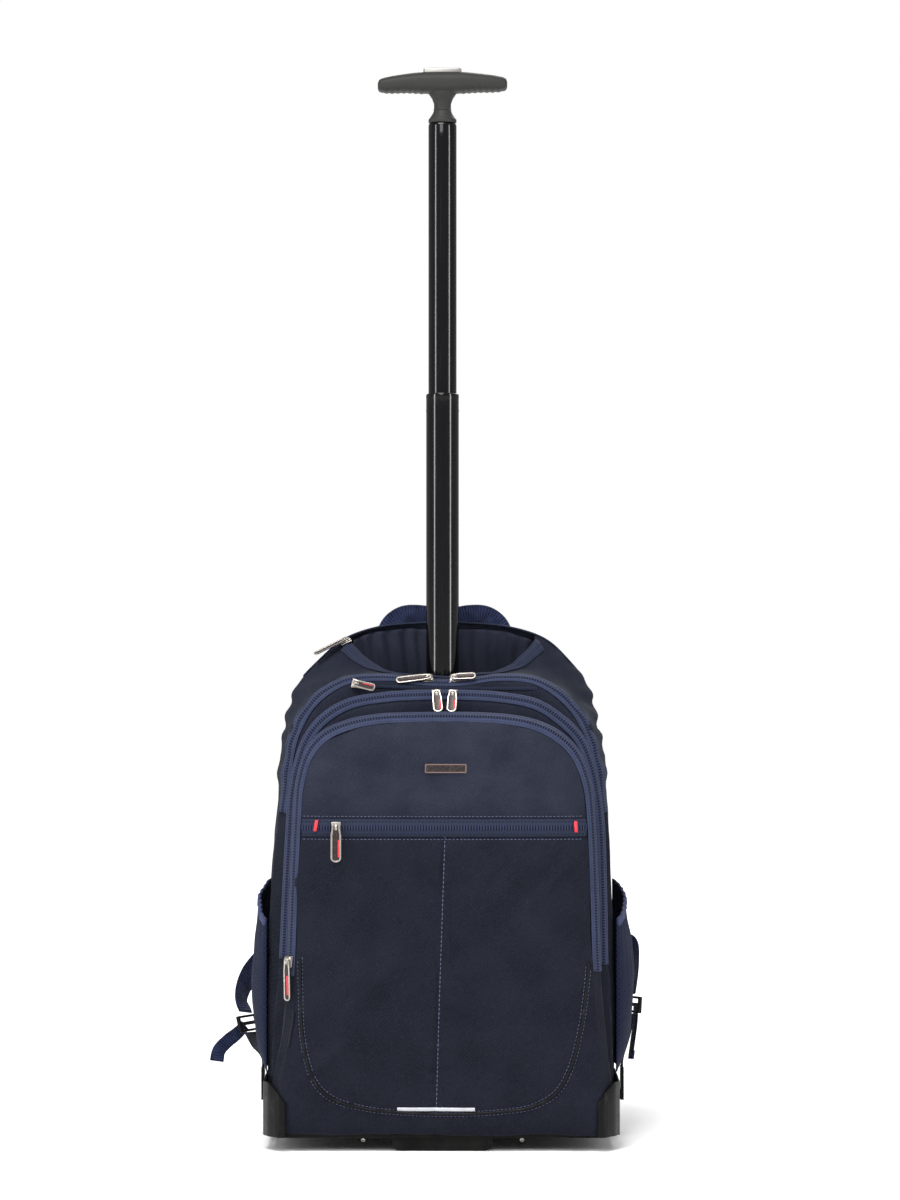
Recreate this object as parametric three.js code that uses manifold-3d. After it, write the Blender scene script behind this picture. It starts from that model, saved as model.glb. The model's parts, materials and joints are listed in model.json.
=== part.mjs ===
// A cabin-size backpack on two wheels, with a two-stage trolley handle on a single pole.
// Millimetres, +Z up, the front faces -Y and +X is to the viewer's right.
// The origin is on the floor, under the middle of the front foot.
import * as THREE from "three";
import { mergeVertices } from "three/addons/utils/BufferGeometryUtils.js";
import Module from "manifold-3d";

const wasm = await Module();
wasm.setup();

// Driving dimensions
const clearance = 0.3; // between pieces that touch
const wall = 2; // cloth with its backing
const bagWidth = 330; // across the base
const bagHeight = 470; // cloth body, from its floor to the top of the rear panel
const pocketHeight = 393; // front pocket, from its hem to its crown
const middleHeight = 407; // middle compartment, from the tray to its crown
const footSetback = 30; // from the middle of the foot forward to the edge of the front panel
const pocketDepth = 40;
const middleDepth = 34.7;
const mainDepth = 119.7;
const hemHeight = 13.5; // hem of the front panel above the floor
const trayHeight = 19.7; // top of the base tray above the floor
const trayPlate = 4;
const trayRim = 3;
const trayDrop = 7.2; // depth of the tray's rim
const traySetback = 10; // tray's front edge behind the front panel
const trayInset = 7; // tray's sides inside the bag's width
const trayCorner = 18;
const footWidth = 94;
const footDepth = 32;
const footCorner = 9;
const studSpan = 147.5; // between the two studs under the front edge
const studSize = 17;
const studDrop = 9.5;
const wheelTrack = 266;
const wheelRadius = 28;
const wheelWidth = 18;
const rimRadius = 20;
const axleRadius = 4;
const wheelBack = 150; // axle behind the origin
const wellSide = 5; // room beside a wheel in its well
const wellOver = 5; // room round a wheel in its well
const mouldWall = 2.5;
const poleBack = 125; // pole behind the origin
const upperRadius = 13.45;
const lowerRadius = 15.65;
const housingRadius = 18.6;
const tubeWall = 1.6;
const tubePlay = 0.55;
const housingTop = 430;
const lowerTop = 709;
const upperTop = 969;
const stageOverlap = 45; // length of a stage that stays in the one below
const gripWidth = 124;
const gripHeight = 24;
const gripDepth = 34;
const neckHeight = 25;
const buttonWidth = 36.4;
const buttonDepth = 15;
const buttonTravel = 3;
const tapeWidth = 9;
const tapeThick = 1;
const webbingWidth = 25;
const webbingThick = 1.8;
const strapWidth = 58;
const strapThick = 12;
const padThick = 12.5; // padded back panel
const plateWidth = 38.4;
const plateHeight = 8.3;
const pipingRadius = 1.4;
const mouthFront = 95; // front of the mouth that the pole comes out of
const mouthHalf = 89;
const ringSides = 36; // points round a compartment
const rightShare = 0.988; // the bag's right edge, as a share of its left one
const farAway = 2000; // outside the bag, for rays and for cutters

// Depth of each layer
const clothFloor = trayHeight + clearance;
const pocketFront = -footSetback;
const pocketBack = pocketFront + pocketDepth;
const middleFront = pocketBack + clearance;
const middleBack = middleFront + middleDepth;
const mainFront = middleBack + clearance;
const mainBack = mainFront + mainDepth;
const half = bagWidth / 2;
const sides = [
  { name: "left", side: -1, edge: half, pocket: 0.962, bulge: 15 },
  { name: "right", side: 1, edge: half * rightShare, pocket: 0.95, bulge: 18 },
];

// Outlines from the front: height is a share of the layer's height, left and right are of the half width
const pocketOutline = [
  { height: 0, left: 0.885, right: 0.885 },
  { height: 0.02, left: 0.94, right: 0.93 },
  { height: 0.09, left: 0.962, right: 0.95 },
  { height: 0.18, left: 0.935, right: 0.93 },
  { height: 0.284, left: 0.895, right: 0.91 },
  { height: 0.42, left: 0.872, right: 0.888 },
  { height: 0.576, left: 0.858, right: 0.876 },
  { height: 0.747, left: 0.838, right: 0.858 },
  { height: 0.843, left: 0.82, right: 0.832 },
  { height: 0.915, left: 0.765, right: 0.76 },
  { height: 0.958, left: 0.67, right: 0.65 },
  { height: 0.983, left: 0.53, right: 0.52 },
  { height: 0.996, left: 0.364, right: 0.35 },
  { height: 1, left: 0.15, right: 0.15 },
];
const middleOutline = [
  { height: 0, left: 0.91, right: 0.91 },
  { height: 0.017, left: 0.955, right: 0.95 },
  { height: 0.098, left: 0.972, right: 0.968 },
  { height: 0.258, left: 0.95, right: 0.955 },
  { height: 0.366, left: 0.928, right: 0.94 },
  { height: 0.54, left: 0.908, right: 0.932 },
  { height: 0.688, left: 0.888, right: 0.92 },
  { height: 0.764, left: 0.876, right: 0.9 },
  { height: 0.835, left: 0.842, right: 0.862 },
  { height: 0.897, left: 0.785, right: 0.796 },
  { height: 0.941, left: 0.7, right: 0.69 },
  { height: 0.978, left: 0.552, right: 0.545 },
  { height: 0.995, left: 0.333, right: 0.33 },
  { height: 1, left: 0.121, right: 0.121 },
];
const mainFrontOutline = [
  { height: 0, left: 0.945, right: 0.945 },
  { height: 0.015, left: 0.988, right: 0.98 },
  { height: 0.085, left: 1, right: 0.985 },
  { height: 0.223, left: 1, right: 0.985 },
  { height: 0.317, left: 0.994, right: 0.98 },
  { height: 0.468, left: 0.978, right: 0.968 },
  { height: 0.596, left: 0.944, right: 0.95 },
  { height: 0.681, left: 0.915, right: 0.922 },
  { height: 0.745, left: 0.89, right: 0.888 },
  { height: 0.794, left: 0.848, right: 0.842 },
  { height: 0.847, left: 0.752, right: 0.73 },
  { height: 0.89, left: 0.57, right: 0.55 },
  { height: 0.897, left: 0.333, right: 0.333 },
  { height: 0.887, left: 0.11, right: 0.11 },
];
const mainRearOutline = [
  { height: 0, left: 0.945, right: 0.945 },
  { height: 0.015, left: 0.988, right: 0.98 },
  { height: 0.085, left: 1, right: 0.985 },
  { height: 0.223, left: 1, right: 0.985 },
  { height: 0.317, left: 1, right: 0.985 },
  { height: 0.481, left: 1, right: 0.975 },
  { height: 0.634, left: 0.962, right: 0.966 },
  { height: 0.734, left: 0.942, right: 0.935 },
  { height: 0.809, left: 0.902, right: 0.894 },
  { height: 0.874, left: 0.838, right: 0.836 },
  { height: 0.921, left: 0.72, right: 0.735 },
  { height: 0.964, left: 0.575, right: 0.6 },
  { height: 0.989, left: 0.376, right: 0.39 },
  { height: 0.998, left: 0.121, right: 0.121 },
];

// Sections of the front pocket and of the middle compartment, from the open back to the face:
// depth is a share of the layer's depth, inset is in shares of the half width
const pocketSections = [
  { depth: 1, inset: 0 },
  { depth: 0.45, inset: 0 },
  { depth: 0.24, inset: 0.038 },
  { depth: 0.15, inset: 0.055 },
  { depth: 0.05, inset: 0.15 },
  { depth: -0.0125, inset: 0.32 },
  { depth: -0.05, inset: 0.58 },
];
const middleSections = [
  { depth: 1, inset: 0 },
  { depth: 0.28, inset: 0 },
  { depth: 0.07, inset: 0.058 },
  { depth: 0, inset: 0.08 },
  { depth: 0, inset: 0.6 },
];
// Sections of the main compartment, from the rear panel to its front face
const mainSections = [
  { depth: 1, inset: 0.3 },
  { depth: 1, inset: 0.045 },
  { depth: 0.965, inset: 0 },
  { depth: 0.88, inset: 0 },
  { depth: 0.78, inset: 0 },
  { depth: 0.68, inset: 0 },
  { depth: 0.56, inset: 0 },
  { depth: 0.42, inset: 0 },
  { depth: 0.22, inset: 0 },
  { depth: 0.095, inset: 0 },
  { depth: 0.022, inset: 0.055 },
  { depth: 0, inset: 0.075 },
  { depth: 0, inset: 0.3 },
];

// Soft folds: x and z are shares of the half width and of the bag's height, run is the fold's slope in
// degrees, length and breadth are shares of the half width, rise is in shares of the wall (negative is a dent)
const pocketFolds = [
  { x: -0.62, z: 0.18, run: 52, length: 0.45, breadth: 0.1, rise: 1.1 },
  { x: -0.7, z: 0.33, run: 60, length: 0.4, breadth: 0.1, rise: -0.9 },
  { x: 0.66, z: 0.3, run: 118, length: 0.4, breadth: 0.12, rise: 0.8 },
  { x: 0.1, z: 0.12, run: 4, length: 0.6, breadth: 0.1, rise: -0.8 },
];
const shoulderFolds = [
  { z: 0.7, breadth: 0.022, rise: 1 },
  { z: 0.76, breadth: 0.02, rise: -0.8 },
  { z: 0.81, breadth: 0.02, rise: 1 },
  { z: 0.86, breadth: 0.018, rise: -0.7 },
];
const gatherPitch = 24; // rear panel, seen in the mouth
const gatherDepth = 1.4;

const materials = {
  navyTwill: new THREE.MeshStandardMaterial({ color: 0x2c3042, roughness: 0.78 }),
  zipTape: new THREE.MeshStandardMaterial({ color: 0x444c68, roughness: 0.7 }),
  navyMesh: new THREE.MeshStandardMaterial({ color: 0x2b3868, roughness: 0.8 }),
  navyWebbing: new THREE.MeshStandardMaterial({ color: 0x272e48, roughness: 0.75 }),
  blackVinyl: new THREE.MeshStandardMaterial({ color: 0x262624, roughness: 0.5 }),
  blackPlastic: new THREE.MeshStandardMaterial({ color: 0x2b2b29, roughness: 0.55 }),
  blackLacquer: new THREE.MeshStandardMaterial({ color: 0x0a0a0b, roughness: 0.12, metalness: 0.6 }),
  nickel: new THREE.MeshStandardMaterial({ color: 0xc8c0b8, roughness: 0.25, metalness: 1 }),
  redTape: new THREE.MeshStandardMaterial({ color: 0xd62c3a, roughness: 0.6 }),
  reflective: new THREE.MeshStandardMaterial({ color: 0xbec0c6, roughness: 0.3, metalness: 0.3 }),
  wheelRubber: new THREE.MeshStandardMaterial({ color: 0x1a1a1a, roughness: 0.85 }),
};

const backpack = new THREE.Group();

// Adds one piece to the backpack.
function add(name, geometry, material) {
  const mesh = new THREE.Mesh(geometry, material);
  mesh.name = name;
  backpack.add(mesh);
  return mesh;
}

// Gives a closed geometry merged corners, and faces that point outwards.
function tidy(geometry) {
  const bare = geometry.clone();
  bare.deleteAttribute("normal");
  bare.deleteAttribute("uv");
  const merged = mergeVertices(bare, 1e-3);
  const position = merged.attributes.position;
  const index = merged.index.array;
  const corner = [new THREE.Vector3(), new THREE.Vector3(), new THREE.Vector3()];
  let volume = 0;
  for (let i = 0; i < index.length; i += 3) {
    corner.forEach((c, k) => c.fromBufferAttribute(position, index[i + k]));
    volume += corner[0].dot(corner[1].clone().cross(corner[2])) / 6;
  }
  if (volume < 0)
    for (let i = 0; i < index.length; i += 3) [index[i + 1], index[i + 2]] = [index[i + 2], index[i + 1]];
  return merged;
}

function toSolid(geometry) {
  const closed = tidy(geometry);
  return new wasm.Manifold(
    new wasm.Mesh({
      numProp: 3,
      vertProperties: closed.attributes.position.array,
      triVerts: new Uint32Array(closed.index.array),
    }),
  );
}

function toGeometry(solid) {
  const mesh = solid.getMesh();
  const geometry = new THREE.BufferGeometry();
  geometry.setAttribute("position", new THREE.BufferAttribute(new Float32Array(mesh.vertProperties), 3));
  geometry.setIndex(new THREE.BufferAttribute(new Uint32Array(mesh.triVerts), 1));
  geometry.computeVertexNormals();
  return geometry;
}

const join = (first, ...rest) =>
  toGeometry(rest.reduce((solid, other) => solid.add(toSolid(other)), toSolid(first)));
const cut = (first, ...rest) =>
  toGeometry(rest.reduce((solid, other) => solid.subtract(toSolid(other)), toSolid(first)));

function box(x0, x1, y0, y1, z0, z1) {
  const geometry = new THREE.BoxGeometry(x1 - x0, y1 - y0, z1 - z0);
  return geometry.translate((x0 + x1) / 2, (y0 + y1) / 2, (z0 + z1) / 2);
}

// A closed skin through rings with the same number of points, closed by a fan at each end.
function loft(rings) {
  const sides = rings[0].length;
  const points = rings.flat();
  const index = [];
  for (let r = 0; r + 1 < rings.length; r++)
    for (let s = 0; s < sides; s++) {
      const a = r * sides + s;
      const b = r * sides + ((s + 1) % sides);
      index.push(a, b, a + sides, b, b + sides, a + sides);
    }
  for (const end of [0, rings.length - 1]) {
    const centre = rings[end].reduce((sum, p) => sum.add(p), new THREE.Vector3()).divideScalar(sides);
    points.push(centre);
    for (let s = 0; s < sides; s++) {
      const a = end * sides + s;
      const b = end * sides + ((s + 1) % sides);
      if (end === 0) index.push(points.length - 1, b, a);
      else index.push(points.length - 1, a, b);
    }
  }
  const geometry = new THREE.BufferGeometry().setFromPoints(points);
  geometry.setIndex(index);
  return tidy(geometry);
}

// A flat band along a path: each step has a place, the direction across the band, and its outward normal.
function band(steps, width, thick) {
  return loft(
    steps.map(({ at, across, out }) =>
      [
        [-0.5, -0.5],
        [0.5, -0.5],
        [0.5, 0.5],
        [-0.5, 0.5],
      ].map(([u, v]) => at.clone().addScaledVector(across, u * width).addScaledVector(out, v * thick)),
    ),
  );
}

// A rounded rectangle, extruded along Z from 0.
function roundedPlate(width, depth, corner, height) {
  const w = width / 2;
  const d = depth / 2;
  const shape = new THREE.Shape();
  shape.moveTo(-w + corner, -d);
  shape.lineTo(w - corner, -d);
  shape.absarc(w - corner, -d + corner, corner, -Math.PI / 2, 0);
  shape.absarc(w - corner, d - corner, corner, 0, Math.PI / 2);
  shape.absarc(-w + corner, d - corner, corner, Math.PI / 2, Math.PI);
  shape.absarc(-w + corner, -d + corner, corner, Math.PI, 1.5 * Math.PI);
  return new THREE.ExtrudeGeometry(shape, { depth: height, bevelEnabled: false, curveSegments: 4 });
}

// Round pipe along Z.
function pipe(outer, inner, z0, z1, segments) {
  const profile = [
    new THREE.Vector2(inner, z0),
    new THREE.Vector2(outer, z0),
    new THREE.Vector2(outer, z1),
    new THREE.Vector2(inner, z1),
    new THREE.Vector2(inner, z0),
  ];
  return new THREE.LatheGeometry(profile, segments).rotateX(Math.PI / 2);
}

// Compartments

function outlineCurve(rows, floor, height) {
  const corner = (share, row) => new THREE.Vector3(share * half, 0, floor + row.height * height);
  const rightSide = rows.map((row) => corner(row.right, row));
  const leftSide = rows.map((row) => corner(-row.left, row)).reverse();
  return new THREE.CatmullRomCurve3([...rightSide, ...leftSide], true, "centripetal");
}

const curves = {
  pocket: outlineCurve(pocketOutline, hemHeight, pocketHeight),
  middle: outlineCurve(middleOutline, clothFloor, middleHeight),
  mainFront: outlineCurve(mainFrontOutline, clothFloor, bagHeight),
  mainRear: outlineCurve(mainRearOutline, clothFloor, bagHeight),
};

// Moves a point of an outline towards its middle. A shallow inset lifts the hem less than it lowers the crown.
function insetPoint(point, inset, floor, height) {
  const middle = floor + height / 2;
  const low = inset * Math.min(1, 0.2 + inset / 60);
  const reach = point.z < middle ? low : inset;
  const x = point.x * (1 - inset / half);
  const z = middle + (Math.max(point.z, floor) - middle) * (1 - reach / (height / 2));
  return new THREE.Vector3(x, point.y, z);
}

// Offsets a list of sections inwards by the wall, square to each stretch of it.
function innerSections(sections, thick) {
  return sections.map((section, i) => {
    const before = sections[Math.max(0, i - 1)];
    const after = sections[Math.min(sections.length - 1, i + 1)];
    const run = new THREE.Vector2(after.y - before.y, after.inset - before.inset).normalize();
    return { y: section.y + Math.abs(run.y) * thick, inset: section.inset + Math.abs(run.x) * thick };
  });
}

function foldRise(folds, x, z) {
  return folds.reduce((sum, fold) => {
    const dx = x - fold.x * half;
    const dz = z - clothFloor - fold.z * bagHeight;
    const run = THREE.MathUtils.degToRad(fold.run);
    const along = (dx * Math.cos(run) + dz * Math.sin(run)) / (fold.length * half);
    const aside = (dz * Math.cos(run) - dx * Math.sin(run)) / (fold.breadth * half);
    return sum + fold.rise * wall * Math.exp(-along * along - aside * aside);
  }, 0);
}

const sectionsOf = (rows, front, depth) =>
  rows.map((row) => ({ y: front + row.depth * depth, inset: row.inset * half }));

// A point of the front pocket. Behind the tray's front edge the cloth lies on the tray.
function pocketPoint(t, section) {
  const p = insetPoint(curves.pocket.getPoint(t), section.inset, hemHeight, pocketHeight);
  if (section.y > pocketFront + traySetback - 1) p.z = Math.max(p.z, clothFloor);
  p.y = section.y - (section.inset > tapeWidth ? foldRise(pocketFolds, p.x, p.z) : 0);
  return p;
}

function middlePoint(t, section) {
  const p = insetPoint(curves.middle.getPoint(t), section.inset, clothFloor, middleHeight);
  p.y = section.y;
  return p;
}

// The main compartment rises towards its rear panel, behind the mouth's front lip: how far behind the lip the
// rise starts, how far before the rear panel it ends, and how it bends.
const riseStart = 5;
const riseEnd = 10;
const riseBend = 1.6;
function mainPoint(t, section) {
  const risen = (section.y - mouthFront - riseStart) / (mainBack - mouthFront - riseStart - riseEnd);
  const back = THREE.MathUtils.clamp(risen, 0, 1) ** riseBend;
  const p = curves.mainFront.getPoint(t).lerp(curves.mainRear.getPoint(t), back);
  const fold = shoulderFolds.reduce((sum, row) => {
    const away = (p.z - clothFloor) / bagHeight - row.z;
    return sum + row.rise * wall * Math.exp(-((away / row.breadth) ** 2));
  }, 0);
  const onSide = 1 - THREE.MathUtils.clamp(section.inset / (mainSections[1].inset * half), 0, 1);
  p.x += Math.sign(p.x) * fold * onSide;
  const moved = insetPoint(p, section.inset, clothFloor, bagHeight);
  moved.y = section.y;
  return moved;
}

const ringOf = (pointAt, section) =>
  Array.from({ length: ringSides }, (_, i) => pointAt(i / ringSides, section));

// A cup of cloth that is open at its back: its outer skin, then its inner skin a wall above its floor.
function cup(pointAt, sections) {
  const inner = innerSections(sections, wall);
  inner[0] = { y: sections[0].y, inset: wall };
  const outerRings = sections.map((s) => ringOf(pointAt, s));
  const innerRings = inner.map((s, i) =>
    ringOf(pointAt, s).map((p, k) => {
      const under = outerRings[i][k].z;
      if (under < clothFloor + 5 * wall) p.z = Math.max(p.z, under + wall);
      return p;
    }),
  );
  return loft([...[...outerRings].reverse(), ...innerRings]);
}

const pocketRows = sectionsOf(pocketSections, pocketFront, pocketDepth);
const middleRows = sectionsOf(middleSections, middleFront, middleDepth);
const mainRows = sectionsOf(mainSections, mainFront, mainDepth);

// The seat of a piece on a mesh: where a straight line first meets it.
const ray = new THREE.Raycaster();
function seat(mesh, from, direction) {
  ray.set(from, direction);
  const hits = ray.intersectObject(mesh);
  return hits.length ? hits[0].point : null;
}
const ahead = new THREE.Vector3(0, 1, 0);
const down = new THREE.Vector3(0, 0, -1);
const faceY = (mesh, x, z) => seat(mesh, new THREE.Vector3(x, -farAway, z), ahead).y;
const topZ = (mesh, x, y) => seat(mesh, new THREE.Vector3(x, y, farAway), down).z;
function sideX(mesh, side, y, z) {
  return seat(mesh, new THREE.Vector3(side * farAway, y, z), new THREE.Vector3(-side, 0, 0)).x;
}

// Wheel housing: its box, for the tray, the main compartment and the guards
const wellInner = wheelTrack / 2 - wheelWidth / 2 - wellSide;
const wellOuter = wheelTrack / 2 + wheelWidth / 2 + wellSide;
const housingInner = wellInner - mouldWall;
const housingOuter = half - 2;
const housingFront = wheelBack - wheelRadius - wellOver - mouldWall;
const housingBack = mainBack + padThick + 3;
const housingRoof = 2 * wheelRadius + wellOver + mouldWall;

// The lip of the mouth in plan: a curve from one side, round the front, to the other.
const mouthBack = mainBack - wall - 4;
const mouthSide = mouthBack - 8; // where the lip meets the rear panel's gathers
const lipBend = 2.6;
const lipSteps = 22;
function lipPoint(share, out) {
  const x = THREE.MathUtils.lerp(-mouthHalf, mouthHalf, share);
  const y = mouthFront + (mouthSide - mouthFront) * (Math.abs(x) / mouthHalf) ** lipBend;
  const away = Math.abs(x) / mouthHalf;
  const rise = (lipBend * (mouthSide - mouthFront) * Math.sign(x) * away ** (lipBend - 1)) / mouthHalf;
  const outward = new THREE.Vector2(rise, -1).normalize();
  return new THREE.Vector3(x + outward.x * out, y + outward.y * out, 0);
}

// The rear panel's cloth is gathered behind the mouth: from the right end to the left, and the same back.
const gatherSteps = 32;
const gatherAt = (x) => mouthBack + gatherDepth * Math.cos((2 * Math.PI * x) / gatherPitch);
const gatherLine = Array.from({ length: gatherSteps + 1 }, (_, i) => {
  const x = THREE.MathUtils.lerp(mouthHalf, -mouthHalf, i / gatherSteps);
  return new THREE.Vector2(x, gatherAt(x));
});
const gatherFoot = 0.845; // of the bag's height
function gatheredCloth() {
  const within = gatherLine.slice(1, -1);
  const shape = new THREE.Shape([
    ...within,
    new THREE.Vector2(within[within.length - 1].x, mainBack - wall / 2),
    new THREE.Vector2(within[0].x, mainBack - wall / 2),
  ]);
  const prism = new THREE.ExtrudeGeometry(shape, { depth: bagHeight, bevelEnabled: false });
  return prism.translate(0, 0, clothFloor + gatherFoot * bagHeight);
}

function mouthCutter() {
  const shape = new THREE.Shape();
  shape.setFromPoints(gatherLine);
  for (let i = 0; i <= lipSteps; i++) {
    const p = lipPoint(i / lipSteps, 0);
    shape.lineTo(p.x, p.y);
  }
  const prism = new THREE.ExtrudeGeometry(shape, { depth: bagHeight, bevelEnabled: false });
  return prism.translate(0, 0, clothFloor + bagHeight * 0.8);
}

const mainOuter = loft(mainRows.map((s) => ringOf(mainPoint, s)));
const mainInner = loft(
  mainRows.map((s) => {
    const y = THREE.MathUtils.clamp(s.y, mainFront + wall, mainBack - wall);
    return ringOf(mainPoint, { ...s, y }).map((p) => {
      const moved = insetPoint(p, wall, clothFloor, bagHeight);
      moved.z = Math.max(moved.z, clothFloor + wall);
      return moved;
    });
  }),
);

function housingCut(side, grow) {
  const [x0, x1] = [side * (housingInner - clearance - grow), side * farAway].sort((a, b) => a - b);
  return box(x0, x1, housingFront - clearance - grow, farAway, -farAway, housingRoof + clearance + grow);
}

const notched = (geometry, grow) =>
  toSolid(geometry).subtract(toSolid(housingCut(-1, grow))).subtract(toSolid(housingCut(1, grow)));

const mainShell = notched(mainOuter, 0).subtract(notched(mainInner, wall)).subtract(toSolid(mouthCutter()));
const gathers = toSolid(gatheredCloth()).intersect(toSolid(mainOuter));
add("main_compartment", toGeometry(mainShell.add(gathers)), materials.navyTwill);
const middleCompartment = add("middle_compartment", cup(middlePoint, middleRows), materials.navyTwill);
const frontPocket = add("front_pocket", cup(pocketPoint, pocketRows), materials.navyTwill);
const mainSkin = new THREE.Mesh(mainOuter); // whole, for what is seated on the main compartment

// Zip tapes along the front edges of the layers

// A tape laid on the stretch between two sections, along part of the ring: facing is -1 at the front and 1 at
// the rear.
function edgeTape(pointAt, from, to, firstShare, lastShare, facing = -1) {
  const run = new THREE.Vector2(to.y - from.y, to.inset - from.inset).normalize();
  const lift = (section, out) => ({
    y: section.y + facing * Math.abs(run.y) * out,
    inset: section.inset - Math.abs(run.x) * out,
  });
  // between two points of the ring, the tape follows the straight side of the layer
  const onRing = (t, section) => {
    const before = Math.floor(t * ringSides + 1e-6);
    const after = ((before + 1) % ringSides) / ringSides;
    return pointAt(before / ringSides, section).lerp(pointAt(after, section), t * ringSides - before);
  };
  const stops = [firstShare];
  const next = Math.floor(firstShare * ringSides) + 1;
  for (let i = next; i < lastShare * ringSides; i++) stops.push(i / ringSides);
  stops.push(lastShare);
  return loft(
    stops.map((t) => [
      onRing(t, lift(from, clearance)),
      onRing(t, lift(to, clearance)),
      onRing(t, lift(to, clearance + tapeThick)),
      onRing(t, lift(from, clearance + tapeThick)),
    ]),
  );
}

add("front_zip_tape", edgeTape(pocketPoint, pocketRows[1], pocketRows[3], 0.16, 0.8), materials.zipTape);
add("middle_zip_tape", edgeTape(middlePoint, middleRows[1], middleRows[2], 0.14, 0.81), materials.zipTape);
add("main_zip_tape", edgeTape(mainPoint, mainRows[9], mainRows[10], 0.26, 0.74), materials.zipTape);

add("rear_panel_binding", edgeTape(mainPoint, mainRows[1], mainRows[2], 0.36, 0.62, 1), materials.navyWebbing);
const tapeOnMain = backpack.getObjectByName("main_zip_tape");
const tapeOnMiddle = backpack.getObjectByName("middle_zip_tape");
const tapeOnPocket = backpack.getObjectByName("front_zip_tape");

// Tape of the open zip, round the front lip of the mouth
const lipLift = 1.1; // the lip's tape above the cloth
function mouthTape() {
  const rings = [];
  for (let i = 0; i <= lipSteps; i++) {
    const share = THREE.MathUtils.lerp(0.015, 0.985, i / lipSteps);
    const edges = [1, 1 + tapeWidth].map((out) => {
      const p = lipPoint(share, out);
      p.z = topZ(mainSkin, p.x, p.y) + lipLift;
      return p;
    });
    const up = new THREE.Vector3(0, 0, tapeThick);
    rings.push([edges[0], edges[1], edges[1].clone().add(up), edges[0].clone().add(up)]);
  }
  return loft(rings);
}
add("mouth_zip_tape", mouthTape(), materials.zipTape);

// Base tray with two wheel housings

const trayBottom = trayHeight - trayPlate;
const rimBottom = trayHeight - trayDrop;
const trayFront = pocketFront + traySetback;
const traySpan = bagWidth - 2 * trayInset;
const trayLength = housingBack - trayFront;
const trayMiddle = (trayFront + housingBack) / 2;

function wheelHousing(side) {
  const [x0, x1] = [side * housingInner, side * housingOuter].sort((a, b) => a - b);
  return box(x0, x1, housingFront, housingBack, rimBottom, housingRoof);
}
function wheelWell(side) {
  const [x0, x1] = [side * wellInner, side * wellOuter].sort((a, b) => a - b);
  return box(x0, x1, housingFront + mouldWall, farAway, -farAway, housingRoof - mouldWall);
}
function fenderCore(side) {
  const [x0, x1] = [side * (wellOuter + mouldWall), side * (housingOuter - mouldWall)].sort((a, b) => a - b);
  return box(x0, x1, housingFront + mouldWall, housingBack - mouldWall, -farAway, housingRoof - mouldWall);
}
const plate = roundedPlate(traySpan, trayLength, trayCorner, trayDrop).translate(0, trayMiddle, rimBottom);
const underside = roundedPlate(
  traySpan - 2 * trayRim,
  trayLength - 2 * trayRim,
  trayCorner - trayRim,
  trayDrop,
);
underside.translate(0, trayMiddle, trayBottom - trayDrop);
const trayBody = join(cut(plate, underside), wheelHousing(-1), wheelHousing(1));
add(
  "base_tray",
  cut(trayBody, wheelWell(-1), wheelWell(1), fenderCore(-1), fenderCore(1)),
  materials.blackPlastic,
);

// Front foot: a block with rounded lower corners
function footBlock() {
  const top = trayBottom - clearance;
  const w = footWidth / 2;
  const shape = new THREE.Shape();
  shape.moveTo(-w, top);
  shape.lineTo(-w, footCorner);
  shape.quadraticCurveTo(-w, 0, -w + footCorner, 0);
  shape.lineTo(w - footCorner, 0);
  shape.quadraticCurveTo(w, 0, w, footCorner);
  shape.lineTo(w, top);
  const block = new THREE.ExtrudeGeometry(shape, { depth: footDepth, bevelEnabled: false, curveSegments: 6 });
  return block.rotateX(Math.PI / 2).translate(0, footDepth / 2, 0);
}
add("front_foot", footBlock(), materials.blackPlastic);

// Studs that hold the hem to the tray: a tab that points down, with a screw head
function stud() {
  const shape = new THREE.Shape();
  shape.moveTo(-studSize / 2, 0);
  shape.lineTo(studSize / 2, 0);
  shape.quadraticCurveTo(studSize / 4, -studDrop / 2, studSize / 8, -studDrop * 0.85);
  shape.quadraticCurveTo(0, -studDrop * 1.1, -studSize / 8, -studDrop * 0.85);
  shape.quadraticCurveTo(-studSize / 4, -studDrop / 2, -studSize / 2, 0);
  const options = { depth: studSize / 2, bevelEnabled: false, curveSegments: 4 };
  const tab = new THREE.ExtrudeGeometry(shape, options);
  const screw = new THREE.CylinderGeometry(studSize * 0.16, studSize * 0.16, studSize * 0.6, 10);
  screw.rotateX(Math.PI / 2).translate(0, -studDrop * 0.6, studSize * 0.3);
  return join(tab, screw).rotateX(Math.PI / 2);
}
for (const { name, side } of sides) {
  const at = stud().translate((side * studSpan) / 2, trayFront + trayRim + studSize, trayBottom - clearance);
  add("base_stud_" + name, at, materials.blackPlastic);
}

// Wheels on their axles
const bore = axleRadius + clearance;
const tyreProfile = [
  [rimRadius + clearance, -0.5],
  [wheelRadius - 2, -0.5],
  [wheelRadius, -0.36],
  [wheelRadius, 0.36],
  [wheelRadius - 2, 0.5],
  [rimRadius + clearance, 0.5],
  [rimRadius + clearance, -0.5],
];
const hubProfile = [
  [bore, -0.5],
  [bore + 3, -0.5],
  [bore + 4, -0.2],
  [rimRadius - 4, -0.2],
  [rimRadius - 2.5, -0.46],
  [rimRadius, -0.46],
  [rimRadius, 0.46],
  [rimRadius - 2.5, 0.46],
  [rimRadius - 4, 0.2],
  [bore + 4, 0.2],
  [bore + 3, 0.5],
  [bore, 0.5],
  [bore, -0.5],
];
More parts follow.
